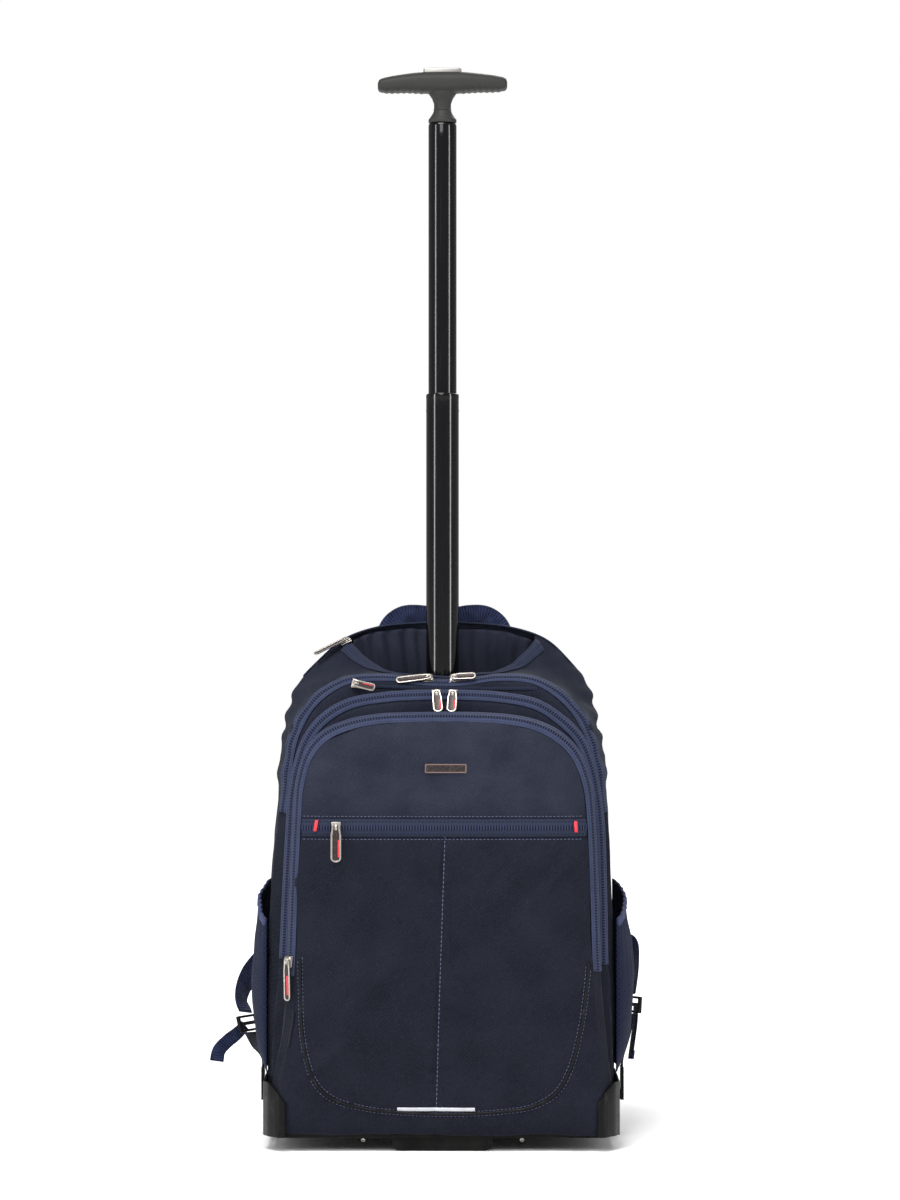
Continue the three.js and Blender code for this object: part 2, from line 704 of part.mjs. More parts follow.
// A round piece about X from a profile of radius and share of the width.
function turned(profile, width, segments) {
  const points = profile.map(([radius, share]) => new THREE.Vector2(radius, share * width));
  return new THREE.LatheGeometry(points, segments).rotateZ(Math.PI / 2);
}
for (const { name, side } of sides) {
  const place = [(side * wheelTrack) / 2, wheelBack, wheelRadius];
  add("wheel_tyre_" + name, turned(tyreProfile, wheelWidth, 20).translate(...place), materials.wheelRubber);
  add("wheel_hub_" + name, turned(hubProfile, wheelWidth, 14).translate(...place), materials.blackPlastic);
  const span = wellOuter - wellInner - 2 * clearance;
  const axle = new THREE.CylinderGeometry(axleRadius, axleRadius, span, 14).rotateZ(Math.PI / 2);
  add("wheel_axle_" + name, axle.translate(...place), materials.nickel);
}

// Trolley handle

const housingFoot = clothFloor + wall + clearance;
const lowerBottom = housingTop - stageOverlap;
const upperBottom = lowerTop - stageOverlap;

const flangeReach = 14;
const flangeThick = 4;
const bracketHalf = 24;
const bracketHeight = 18;
const bracketDrop = 22;
const sleeve = pipe(housingRadius, lowerRadius + tubePlay, housingFoot, housingTop, 24);
const sleeveFlange = pipe(
  housingRadius + flangeReach,
  lowerRadius + tubePlay,
  housingFoot,
  housingFoot + flangeThick,
  24,
);
const bracketReach = mainBack - wall - gatherDepth - clearance - poleBack;
const bracket = box(
  -bracketHalf,
  bracketHalf,
  housingRadius - tubeWall,
  bracketReach,
  housingTop - bracketDrop - bracketHeight,
  housingTop - bracketDrop,
);
add("pole_housing", join(sleeve, sleeveFlange, bracket).translate(0, poleBack, 0), materials.blackPlastic);
add(
  "lower_tube",
  pipe(lowerRadius, upperRadius + tubePlay, lowerBottom, lowerTop, 28).translate(0, poleBack, 0),
  materials.blackLacquer,
);
add(
  "upper_tube",
  pipe(upperRadius, upperRadius - tubeWall, upperBottom, upperTop - clearance, 28).translate(0, poleBack, 0),
  materials.blackLacquer,
);

// Grip: sections along its length, as shares of half its width, of its height and of its depth
const gripSections = [
  { x: -1, middle: 0.42, high: 0.12, deep: 0.22 },
  { x: -0.97, middle: 0.44, high: 0.24, deep: 0.36 },
  { x: -0.85, middle: 0.47, high: 0.31, deep: 0.42 },
  { x: -0.55, middle: 0.54, high: 0.37, deep: 0.47 },
  { x: -0.3, middle: 0.56, high: 0.42, deep: 0.5 },
  { x: 0, middle: 0.55, high: 0.45, deep: 0.5 },
  { x: 0.3, middle: 0.57, high: 0.42, deep: 0.5 },
  { x: 0.55, middle: 0.56, high: 0.37, deep: 0.47 },
  { x: 0.85, middle: 0.52, high: 0.31, deep: 0.42 },
  { x: 0.97, middle: 0.5, high: 0.24, deep: 0.36 },
  { x: 1, middle: 0.48, high: 0.12, deep: 0.22 },
];
const gripFloor = upperTop + neckHeight;
function gripBar() {
  const sides = 12;
  return loft(
    gripSections.map((row) =>
      Array.from({ length: sides }, (_, i) => {
        const angle = (2 * Math.PI * i) / sides;
        const [c, s] = [Math.cos(angle), Math.sin(angle)];
        const y = Math.sign(c) * Math.abs(c) ** 0.75 * row.deep * gripDepth;
        const z = gripFloor + (row.middle + Math.sign(s) * Math.abs(s) ** 0.75 * row.high) * gripHeight;
        return new THREE.Vector3((row.x * gripWidth) / 2, y, z);
      }),
    ),
  );
}
// Neck: radius and share of its height
const neckProfile = [
  [0, 0],
  [upperRadius, 0],
  [upperRadius, 0.12],
  [upperRadius - 1.2, 0.18],
  [upperRadius - 4.2, 0.36],
  [upperRadius - 5.3, 0.48],
  [upperRadius - 4.4, 0.5],
  [upperRadius - 5.3, 0.52],
  [upperRadius - 5.3, 0.72],
  [upperRadius - 3.4, 0.92],
  [upperRadius, 1.12],
  [upperRadius + 1, 1.35],
  [0, 1.35],
];
const neck = new THREE.LatheGeometry(
  neckProfile.map(([radius, share]) => new THREE.Vector2(radius, upperTop + share * neckHeight)),
  18,
).rotateX(Math.PI / 2);
const ribPitch = 5.6;
const ribCount = 7;
const ribWidth = 2.4;
const ribReach = gripDepth * 0.34;
const ribStart = 0.15; // of the grip's height, and how far each rib lies above the last
const ribStep = 0.012;
const fingerRibs = [-1, 1].flatMap((side) =>
  Array.from({ length: ribCount }, (_, i) => {
    const x = side * (upperRadius + 4 + i * ribPitch);
    const z = gripFloor + gripHeight * (ribStart + ribStep * i);
    return box(x - ribWidth / 2, x + ribWidth / 2, -ribReach, ribReach, z - ribWidth / 2, z + ribWidth);
  }),
);
const gripTop = gripFloor + gripHeight;
const buttonFloor = gripTop - 13;
const buttonCorner = 4;
const buttonRise = 3.6; // above the grip
const buttonPocket = roundedPlate(
  buttonWidth + 2 * tubePlay,
  buttonDepth + 2 * tubePlay,
  buttonCorner + tubePlay,
  gripHeight,
);
buttonPocket.translate(0, 0, buttonFloor - buttonTravel - clearance);
add(
  "handle_grip",
  cut(join(gripBar(), neck, ...fingerRibs), buttonPocket).translate(0, poleBack, 0),
  materials.blackPlastic,
);
const buttonCap = roundedPlate(buttonWidth, buttonDepth, buttonCorner, gripTop + buttonRise - buttonFloor);
add("handle_button", buttonCap.translate(0, poleBack, buttonFloor), materials.nickel);

// Corner guards: vinyl round the lower front corners, back to the wheel housings

const guardThick = 1.8;
const guardLift = 1.6; // off the rounded corner of the pocket
const guardHeight = housingRoof - hemHeight;
function cornerGuard({ side, edge: bagEdge, pocket }) {
  const out = bagEdge + clearance + guardThick / 2;
  const chamfer = pocketRows[3];
  const widest = half * pocket;
  const edge = guardThick / 2 + guardLift;
  const plan = [
    [widest - chamfer.inset - 4, chamfer.y - edge * 1.5],
    [widest - chamfer.inset + edge, chamfer.y - edge],
    [widest + edge, pocketRows[1].y - edge * 1.2],
    [out, pocketRows[1].y + 11],
    [out, mainFront + 10],
    [out, housingFront - clearance],
  ];
  const flare = 0.12; // the guard's top edge leans back by this share of its height at the front
  return loft(
    plan.map(([x, y], i) => {
      const before = plan[Math.max(0, i - 1)];
      const after = plan[Math.min(plan.length - 1, i + 1)];
      const out2 = new THREE.Vector2(after[1] - before[1], before[0] - after[0]).normalize();
      const rise = i < 2 ? guardHeight * (1 - flare * 3 + flare * 1.5 * i) : guardHeight;
      return [
        [-0.5, 0],
        [0.5, 0],
        [0.5, rise],
        [-0.5, rise],
      ].map(
        ([u, z]) =>
          new THREE.Vector3(side * (x + out2.x * u * guardThick), y + out2.y * u * guardThick, hemHeight + z),
      );
    }),
  );
}
for (const row of sides) add("corner_guard_" + row.name, cornerGuard(row), materials.blackVinyl);

// Front panel: horizontal zip, end tabs, bare plate, curved piping and reflective strip

const zipLevel = 0.597; // of the bag's height
const zipBand = 15.7;
const zipReach = 0.79; // of the half width, to each side
const zipSteps = 14;
const onPanel = 1.1; // the tape above the crowned panel
function horizontalTape() {
  const z = clothFloor + zipLevel * bagHeight;
  const rings = [];
  for (let i = 0; i <= zipSteps; i++) {
    const x = THREE.MathUtils.lerp(-zipReach, zipReach + 0.02, i / zipSteps) * half;
    const [low, high] = [z - zipBand / 2, z + zipBand / 2];
    const [yLow, yHigh] = [low, high].map((level) => faceY(frontPocket, x, level) - onPanel);
    rings.push([
      new THREE.Vector3(x, yLow, low),
      new THREE.Vector3(x, yHigh, high),
      new THREE.Vector3(x, yHigh - tapeThick, high),
      new THREE.Vector3(x, yLow - tapeThick, low),
    ]);
  }
  return loft(rings);
}
const panelTape = add("front_pocket_zip_tape", horizontalTape(), materials.zipTape);

// The seat of a flat piece on a crowned mesh: clear of its four corners and its middle
function flatSeat(mesh, x, z, width, height) {
  const steps = [-0.5, 0, 0.5];
  const faces = steps.flatMap((u) => steps.map((v) => faceY(mesh, x + u * width, z + v * height)));
  return Math.min(...faces) - clearance;
}
function flatPlate(mesh, x, z, width, height, thick) {
  const y = flatSeat(mesh, x, z, width, height);
  return box(x - width / 2, x + width / 2, y - thick, y, z - height / 2, z + height / 2);
}
const tabWidth = 4;
const tabHeight = 10;
const zipZ = clothFloor + zipLevel * bagHeight;
for (const [name, x, z] of [["left", -0.71 * half, zipZ + 2], ["right", 0.748 * half, zipZ + 1]])
  add("zip_end_tab_" + name, flatPlate(panelTape, x, z, tabWidth, tabHeight, tapeThick), materials.redTape);
const plateX = 3;
const plateZ = 355.6;
add("name_plate", flatPlate(frontPocket, plateX, plateZ, plateWidth, plateHeight, 1.2), materials.nickel);

// Piping under the front panel, as shares of the half width and of the bag's height
const pipingRoute = [
  { x: -0.8, z: 0.335 },
  { x: -0.797, z: 0.27 },
  { x: -0.79, z: 0.2 },
  { x: -0.762, z: 0.14 },
  { x: -0.705, z: 0.09 },
  { x: -0.61, z: 0.062 },
  { x: -0.45, z: 0.045 },
  { x: -0.25, z: 0.0365 },
  { x: 0, z: 0.033 },
  { x: 0.3, z: 0.037 },
  { x: 0.51, z: 0.048 },
  { x: 0.64, z: 0.075 },
  { x: 0.72, z: 0.125 },
  { x: 0.775, z: 0.2 },
  { x: 0.805, z: 0.27 },
  { x: 0.822, z: 0.33 },
];
const pipingPath = new THREE.CatmullRomCurve3(
  pipingRoute.map(({ x, z }) => {
    const at = new THREE.Vector3(x * half, 0, clothFloor + z * bagHeight);
    at.y = faceY(frontPocket, at.x, at.z) - pipingRadius - 2 * clearance;
    return at;
  }),
);
const pipingSection = new THREE.Shape();
pipingSection.absarc(0, 0, pipingRadius, 0, 2 * Math.PI);
const piping = new THREE.ExtrudeGeometry(pipingSection, {
  steps: 34,
  extrudePath: pipingPath,
  curveSegments: 3,
  bevelEnabled: false,
});
add("panel_piping", piping, materials.blackVinyl);
const stripX = -6;
const stripWidth = 72;
const stripHeight = 3.2;
const stripThick = 0.8;
const lowestPiping = Math.min(...pipingRoute.map(({ z }) => z));
const stripZ = clothFloor + lowestPiping * bagHeight + pipingRadius + stripHeight;
add(
  "reflective_strip",
  flatPlate(frontPocket, stripX, stripZ, stripWidth, stripHeight, stripThick),
  materials.reflective,
);

// Zip sliders, each with its pull tab. In its own frame the slider lies on the plane y = 0, and its tab hangs
// down.

const sliderWidth = 8.4;
const sliderLength = 10.5;
const sliderThick = 3.6;
const tabThick = 1.3;
function zipSlider(tabLength, tabBreadth) {
  const shape = new THREE.Shape();
  const w = sliderWidth / 2;
  const l = sliderLength / 2;
  shape.moveTo(-w * 0.6, l);
  shape.lineTo(w * 0.6, l);
  shape.lineTo(w, 0);
  shape.lineTo(w * 0.75, -l);
  shape.lineTo(-w * 0.75, -l);
  shape.lineTo(-w, 0);
  const slider = new THREE.ExtrudeGeometry(shape, { depth: sliderThick, bevelEnabled: false });
  slider.rotateX(Math.PI / 2);
  const bridge = box(-1.3, 1.3, -sliderThick - 2.6, -sliderThick + 0.5, -3.4, 3.4);
  const tab = new THREE.Shape();
  const b = tabBreadth / 2;
  tab.moveTo(-b * 0.7, -1);
  tab.lineTo(b * 0.7, -1);
  tab.lineTo(b, -4);
  tab.lineTo(b, -tabLength + b);
  tab.quadraticCurveTo(b, -tabLength, 0, -tabLength);
  tab.quadraticCurveTo(-b, -tabLength, -b, -tabLength + b);
  tab.lineTo(-b, -4);
  const plate = new THREE.ExtrudeGeometry(tab, { depth: tabThick, bevelEnabled: false, curveSegments: 4 });
  plate.rotateX(Math.PI / 2).translate(0, -sliderThick - 0.8, 0);
  return join(slider, bridge, plate);
}
// Lays a piece at a place, with its -Z along one direction and its -Y along the seat's outward normal.
function placed(geometry, at, along, outward) {
  const z = along.clone().normalize().negate();
  const y = outward.clone().normalize().negate();
  y.addScaledVector(z, -y.dot(z)).normalize();
  const x = new THREE.Vector3().crossVectors(y, z);
  return geometry.clone().applyMatrix4(new THREE.Matrix4().makeBasis(x, y, z).setPosition(at));
}

// Sliders: the mesh that each one runs on, its place, and the ways its tab and its back point.
// Lengths are in millimetres from the middle of the front and from the floor; lift clears a curved seat.
const sliderPlaces = [
  {
    name: "front_zip_slider", on: panelTape, x: -98.5, z: 301,
    tab: [0, 0, -1], out: [0, -1, 0], length: 32, breadth: 9.6, lift: 0.8,
  },
  {
    name: "side_zip_slider", on: tapeOnPocket, x: -141, z: 176,
    tab: [0.02, 0, -1], out: [-0.8, -1, 0], length: 36, breadth: 7, lift: 2.4,
  },
  {
    name: "middle_zip_slider_left", on: tapeOnMiddle, x: -5.5, z: 421.5,
    tab: [0.1, -0.6, -1], out: [0, -1, 0.6], length: 20, breadth: 9, lift: 1.4,
  },
  {
    name: "middle_zip_slider_right", on: tapeOnMiddle, x: 9.5, z: 421.5,
    tab: [-0.08, -0.6, -1], out: [0, -1, 0.6], length: 20, breadth: 9, lift: 1.4,
  },
  {
    name: "main_zip_slider_left", on: tapeOnMain, x: -14, z: 436,
    tab: [-1, -0.1, -0.12], out: [0, -1, 0.9], length: 30, breadth: 7.5, lift: 1,
  },
  {
    name: "main_zip_slider_right", on: tapeOnMain, x: 12, z: 436,
    tab: [1, -0.1, 0.05], out: [0, -1, 0.9], length: 20, breadth: 7.5, lift: 1,
  },
];
for (const row of sliderPlaces) {
  const out = new THREE.Vector3(...row.out).normalize();
  const at = seat(row.on, new THREE.Vector3(row.x, -farAway, row.z), ahead).addScaledVector(out, row.lift);
  const slider = zipSlider(row.length, row.breadth);
  add(row.name, placed(slider, at, new THREE.Vector3(...row.tab), out), materials.nickel);
}

// Slider of the open mouth zip, on the left shoulder, with its tab lying down the shoulder
const shoulderX = -mouthHalf - 3;
const shoulderY = mouthSide - 2;
const shoulderSeat = new THREE.Vector3(shoulderX, shoulderY, topZ(mainSkin, shoulderX, shoulderY));
const shoulderOut = new THREE.Vector3(-0.45, -0.35, 1).normalize();
const shoulderRun = new THREE.Vector3(-1, -0.12, -0.5);
const shoulderLift = 1.5;
add(
  "mouth_zip_slider",
  placed(zipSlider(33, 8), shoulderSeat.addScaledVector(shoulderOut, shoulderLift), shoulderRun, shoulderOut),
  materials.nickel,
);
// Slider of the small pocket, whose zip lies in the seam over the middle compartment
const smallPocketZ = clothFloor + 0.877 * bagHeight;
const smallPocketX = -80;
add(
  "small_pocket_zip_slider",
  placed(
    zipSlider(19, 7),
    new THREE.Vector3(smallPocketX, mainFront - 2 * clearance, smallPocketZ),
    new THREE.Vector3(0.85, -0.25, -0.2),
    new THREE.Vector3(0, -1, 0.1),
  ),
  materials.nickel,
);

// Side pockets of mesh, open at the top, each with a binding round its mouth

const pocketMeshThick = 1.2;
const sideFront = mainFront + 7; // front seam of a side pocket
const sideRear = housingFront + 38;
const sideFloor = housingRoof + 3;
const sideColumns = 10;
// Height as a share from the floor to the mouth, and the bulge there as a share of the largest
const sideLevels = [
  { height: 0, bulge: 0.1 },
  { height: 0.06, bulge: 0.42 },
  { height: 0.2, bulge: 0.78 },
  { height: 0.38, bulge: 0.97 },
  { height: 0.55, bulge: 1 },
  { height: 0.72, bulge: 0.9 },
  { height: 0.88, bulge: 0.66 },
  { height: 1, bulge: 0.5 },
];
const mouthFrontZ = clothFloor + 0.406 * bagHeight;
const mouthRearZ = clothFloor + 0.474 * bagHeight;
function sidePoint({ side, edge, bulge: most }, u, level, out) {
  const y = THREE.MathUtils.lerp(sideFront, sideRear, u);
  const top = THREE.MathUtils.lerp(mouthFrontZ, mouthRearZ, u);
  const z = THREE.MathUtils.lerp(sideFloor, top, level.height);
  const bulge = level.bulge * most * Math.sin(Math.PI * u) ** 0.7;
  return new THREE.Vector3(side * (edge + 2 * clearance + bulge + out), y, z);
}
const shares = (count) => Array.from({ length: count + 1 }, (_, i) => i / count);
for (const row of sides) {
  const sheet = loft(
    shares(sideColumns).map((u) => [
      ...sideLevels.map((level) => sidePoint(row, u, level, pocketMeshThick)),
      ...[...sideLevels].reverse().map((level) => sidePoint(row, u, level, 0)),
    ]),
  );
  add("side_pocket_" + row.name, sheet, materials.navyMesh);
  const rim = sideLevels[sideLevels.length - 1];
  const drop = { height: rim.height - 0.05, bulge: rim.bulge + 0.06 };
  const out = pocketMeshThick + clearance;
  const binding = loft(
    shares(sideColumns).map((u) => [
      sidePoint(row, u, drop, out),
      sidePoint(row, u, rim, out),
      sidePoint(row, u, rim, out + tapeThick),
      sidePoint(row, u, drop, out + tapeThick),
    ]),
  );
  add("side_pocket_binding_" + row.name, binding, materials.zipTape);
}

// Back: padded panel, shoulder straps, lower webbing with its adjusters, grab handle and binding

const padBottom = 78;
const padTop = 424;
const padHalf = 128;
const padCorner = 34;
const padShoulder = 0.86; // its top's width, as a share of its foot's
const padCornerSteps = 5;
const padSections = [
  { depth: 0, inset: 3 },
  { depth: 0.25, inset: 0 },
  { depth: 0.7, inset: 2 },
  { depth: 0.95, inset: 9 },
  { depth: 1, inset: 22 },
];
const backY = mainBack + clearance;
function backPadding() {
  const rings = padSections.map(({ depth, inset }) => {
    const shape = new THREE.Shape();
    const w = padHalf - inset;
    const [z0, z1] = [padBottom + inset, padTop - inset];
    const corner = padCorner - inset / 2;
    const shoulder = w * padShoulder - corner;
    shape.absarc(shoulder, z1 - corner, corner, 0, Math.PI / 2);
    shape.absarc(-shoulder, z1 - corner, corner, Math.PI / 2, Math.PI);
    shape.absarc(-w + corner, z0 + corner, corner, Math.PI, 1.5 * Math.PI);
    shape.absarc(w - corner, z0 + corner, corner, 1.5 * Math.PI, 2 * Math.PI);
    shape.closePath();
    const points = shape.getPoints(padCornerSteps).slice(0, -1);
    return points.map((p) => new THREE.Vector3(p.x, backY + depth * padThick, p.y));
  });
  return loft(rings);
}
add("back_padding", backPadding(), materials.navyMesh);

// Shoulder straps, down over the padding: x, z and width are shares of the half width, of the bag's height and
// of the strap's width, and lift is a share of the padding
const strapRoute = [
  { x: 0.3, z: 0.935, lift: -0.08, width: 0.86 },
  { x: 0.31, z: 0.905, lift: 0.6, width: 0.95 },
  { x: 0.335, z: 0.87, lift: 1.1, width: 1 },
  { x: 0.42, z: 0.76, lift: 1.05, width: 1 },
  { x: 0.54, z: 0.64, lift: 1.05, width: 0.98 },
  { x: 0.68, z: 0.52, lift: 1.05, width: 0.9 },
  { x: 0.82, z: 0.42, lift: 1.05, width: 0.76 },
  { x: 0.9, z: 0.365, lift: 1.05, width: 0.64 },
];
const strapSteps = 15;
function shoulderStrap(side) {
  const at = new THREE.CatmullRomCurve3(
    strapRoute.map(
      ({ x, z, lift }) =>
        new THREE.Vector3(
          side * x * half,
          backY + strapThick / 2 + clearance + lift * (padThick + 2 * clearance),
          clothFloor + z * bagHeight,
        ),
    ),
  );
  const rings = [];
  for (let i = 0; i <= strapSteps; i++) {
    const t = i / strapSteps;
    const place = at.getPoint(t);
    const run = at.getTangent(t);
    const back = new THREE.Vector3(0, 1, 0);
    const across = new THREE.Vector3().crossVectors(back, run).normalize();
    const out = new THREE.Vector3().crossVectors(run, across).normalize();
    const row = t * (strapRoute.length - 1);
    const low = Math.min(Math.floor(row), strapRoute.length - 2);
    const share = THREE.MathUtils.lerp(strapRoute[low].width, strapRoute[low + 1].width, row - low);
    const width = share * strapWidth;
    const ring = [
      [-0.5, 0],
      [-0.42, -0.42],
      [0, -0.5],
      [0.42, -0.42],
      [0.5, 0],
      [0.42, 0.42],
      [0, 0.5],
      [-0.42, 0.42],
    ];
    const corner = ([u, v]) =>
      place.clone().addScaledVector(across, u * width).addScaledVector(out, v * strapThick);
    rings.push(ring.map(corner));
  }
  return loft(rings);
}

// Lower webbing from a strap's end round the side to the adjuster, and from there to its anchor: millimetres
// outside the bag's half width, behind its rear panel, and above the floor. seat is the adjuster's place, as a
// share of the way from the lower webbing's end up to the upper one's.
const webbingRoute = {
  left: {
    seat: 0.455,
    upper: [
      { out: -15.4, back: 20.6, up: 189, turn: 0 },
      { out: -7, back: 22, up: 175, turn: 0.08 },
      { out: 9, back: 20, up: 161, turn: 0.3 },
      { out: 25, back: 11, up: 143, turn: 0.6 },
      { out: 30, back: 1, up: 126, turn: 0.7 },
      { out: 25.4, back: -3.8, up: 112.9, turn: 0.7 },
    ],
    lower: [
      { out: 21, back: -6.2, up: 93.6, turn: 0.75 },
      { out: 14, back: -10, up: 78, turn: 0.85 },
      { out: 8.5, back: -13.2, up: 68, turn: 1 },
      { out: 8, back: -13.5, up: 62.2, turn: 1 },
    ],
    tail: [
      { out: 25.65, back: -3.7, up: 100, turn: 0.6 },
      { out: 34, back: -6, up: 92, turn: 0.5 },
      { out: 43, back: -9, up: 85, turn: 0.4 },
      { out: 51, back: -10, up: 76, turn: 0.3 },
      { out: 53, back: -10, up: 66, turn: 0.25 },
    ],
  },
  right: {
    seat: 0.5,
    upper: [
      { out: -15.4, back: 20.6, up: 189, turn: 0 },
      { out: -8, back: 22, up: 176.5, turn: 0.05 },
      { out: 5, back: 21.5, up: 174, turn: 0.3 },
      { out: 18, back: 12, up: 174, turn: 0.6 },
      { out: 21, back: 1, up: 158, turn: 0.8 },
      { out: 18, back: -5, up: 130, turn: 0.85 },
    ],
    lower: [
      { out: 17, back: -6, up: 111.5, turn: 0.85 },
      { out: 13, back: -9.5, up: 88, turn: 0.9 },
      { out: 8.5, back: -13.2, up: 68, turn: 1 },
      { out: 8, back: -13.5, up: 62.2, turn: 1 },
    ],
    tail: [
      { out: 22, back: -3.3, up: 119, turn: 0.85 },
      { out: 21.4, back: -4.6, up: 104, turn: 0.85 },
      { out: 19, back: -6.5, up: 86, turn: 0.85 },
      { out: 16.5, back: -8.5, up: 68, turn: 0.85 },
    ],
  },
};
// The width lies across the bag where turn is 0, and along its depth where turn is 1.
function webbing(rows, side, steps, breadth) {
  const point = ({ out, back, up }) => new THREE.Vector3(side * (half + out), mainBack + back, up);
  const path = new THREE.CatmullRomCurve3(rows.map(point));
  const list = [];
  for (let i = 0; i <= steps; i++) {
    const t = i / steps;
    const run = path.getTangent(t);
    const row = t * (rows.length - 1);
    const low = Math.min(Math.floor(row), rows.length - 2);
    const turn = (THREE.MathUtils.lerp(rows[low].turn, rows[low + 1].turn, row - low) * Math.PI) / 2;
    const face = new THREE.Vector3(side * Math.sin(turn), Math.cos(turn), 0);
    const across = new THREE.Vector3().crossVectors(face, run).normalize();
    const out = new THREE.Vector3().crossVectors(run, across).normalize();
    list.push({ at: path.getPoint(t), across, out });
  }
  return band(list, breadth, webbingThick);
}

// Adjuster: a plate with two slots for the webbing
const adjusterLength = 16;
const adjusterThick = 4;
const adjusterRail = 4; // beside the webbing
const adjusterSlot = { at: 3.7, half: 2 };
function adjuster() {
  const frame = roundedPlate(webbingWidth + 2 * adjusterRail, adjusterLength, 3.5, adjusterThick);
  const reach = webbingWidth / 2 + 2 * clearance;
  const slot = (y) => box(-reach, reach, y - adjusterSlot.half, y + adjusterSlot.half, -farAway, farAway);
  const cutOut = cut(frame, slot(-adjusterSlot.at), slot(adjusterSlot.at));
  return cutOut.translate(0, 0, -adjusterThick / 2).rotateX(Math.PI / 2);
}

// Anchor: a sewn tab that stands off the wheel housing on its foot
const anchorLength = 31;
const anchorTop = 61.5;
const anchorThick = 3;
const anchorOut = 8; // middle of the tab outside the bag's half width
const anchorBack = mainBack - 13.5;
function anchor(side) {
  const spans = [
    [half + anchorOut - anchorThick / 2, half + anchorOut + anchorThick / 2],
    [housingOuter + clearance, half + anchorOut],
  ].map(([x0, x1]) => [side * x0, side * x1].sort((a, b) => a - b));
  const [tab, foot] = spans;
  const reach = webbingWidth / 2;
  const footReach = reach * 0.6;
  const low = anchorTop - anchorLength;
  return join(
    box(...tab, anchorBack - reach, anchorBack + reach, low, anchorTop),
    box(...foot, anchorBack - footReach, anchorBack + footReach, low, low + 0.3 * anchorLength),
  );
}
for (const { name, side } of sides) {
  add("shoulder_strap_" + name, shoulderStrap(side), materials.navyMesh);
  const route = webbingRoute[name];
  add("lower_webbing_" + name, webbing(route.upper, side, 14, webbingWidth), materials.navyWebbing);
  add("anchor_webbing_" + name, webbing(route.lower, side, 8, webbingWidth), materials.navyWebbing);
  add("webbing_tail_" + name, webbing(route.tail, side, 10, webbingWidth * 0.56), materials.navyWebbing);
  const high = route.upper[route.upper.length - 1];
  const low = route.lower[0];
  const between = (key) => THREE.MathUtils.lerp(low[key], high[key], route.seat);
  const middle = new THREE.Vector3(side * (half + between("out")), mainBack + between("back"), between("up"));
  const along = new THREE.Vector3(side * (low.out - high.out), low.back - high.back, low.up - high.up);
  const outward = new THREE.Vector3(side, 0.6, 0);
  const frame = placed(adjuster(), middle, along, outward);
  add("strap_adjuster_" + name, frame, materials.blackPlastic);
  add("strap_anchor_" + name, anchor(side), materials.blackVinyl);
}

// Grab handle: shares of its half span, and millimetres behind the rear panel and above its sewn ends
const handleSpan = 112;
const handleAside = 2; // its middle, to the right of the pole's
const handleSteps = 26;
const handleWidth = webbingWidth * 0.8;
const handleThick = webbingThick * 1.3; // two layers, pressed
const handleEnd = clothFloor + 0.95 * bagHeight;
const handleRoute = [
  { x: -1, back: 1.7, up: 0, lean: 0 },
  { x: -1, back: 2.6, up: 10, lean: 0 },
  { x: -0.93, back: 5.5, up: 21, lean: 0.1 },
  { x: -0.68, back: 10, up: 32, lean: 0.35 },
  { x: -0.38, back: 13, up: 35.5, lean: 0.6 },
  { x: 0, back: 15, up: 32, lean: 0.75 },
  { x: 0.38, back: 13, up: 35.5, lean: 0.6 },
  { x: 0.68, back: 10, up: 32, lean: 0.35 },
  { x: 0.93, back: 5.5, up: 21, lean: 0.1 },
  { x: 1, back: 2.6, up: 10, lean: 0 },
  { x: 1, back: 1.7, up: 0, lean: 0 },
];
// The webbing faces back where it is sewn on, and turns its face up behind the pole.
function grabHandle() {
  const corner = ({ x, back, up }) =>
    new THREE.Vector3((x * handleSpan) / 2 + handleAside, mainBack + back, handleEnd + up);
  const path = new THREE.CatmullRomCurve3(handleRoute.map(corner));
  const list = [];
  for (let i = 0; i <= handleSteps; i++) {
    const t = i / handleSteps;
    const run = path.getTangent(t);
    const row = t * (handleRoute.length - 1);
    const low = Math.min(Math.floor(row), handleRoute.length - 2);
    const share = THREE.MathUtils.lerp(handleRoute[low].lean, handleRoute[low + 1].lean, row - low);
    const lean = (share * Math.PI) / 2;
    const face = new THREE.Vector3(0, Math.cos(lean), Math.sin(lean));
    const across = new THREE.Vector3().crossVectors(face, run).normalize();
    const out = new THREE.Vector3().crossVectors(run, across).normalize();
    list.push({ at: path.getPoint(t), across, out });
  }
  return band(list, handleWidth, handleThick);
}
add("grab_handle", grabHandle(), materials.navyWebbing);

export default backpack;
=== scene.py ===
# Wheeled backpack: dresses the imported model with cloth, tapes, webbing and moulded pieces, in a studio
import json
import math
import bmesh
import bpy
import numpy as np
from mathutils import Matrix, Vector, noise
from mathutils.bvhtree import BVHTree


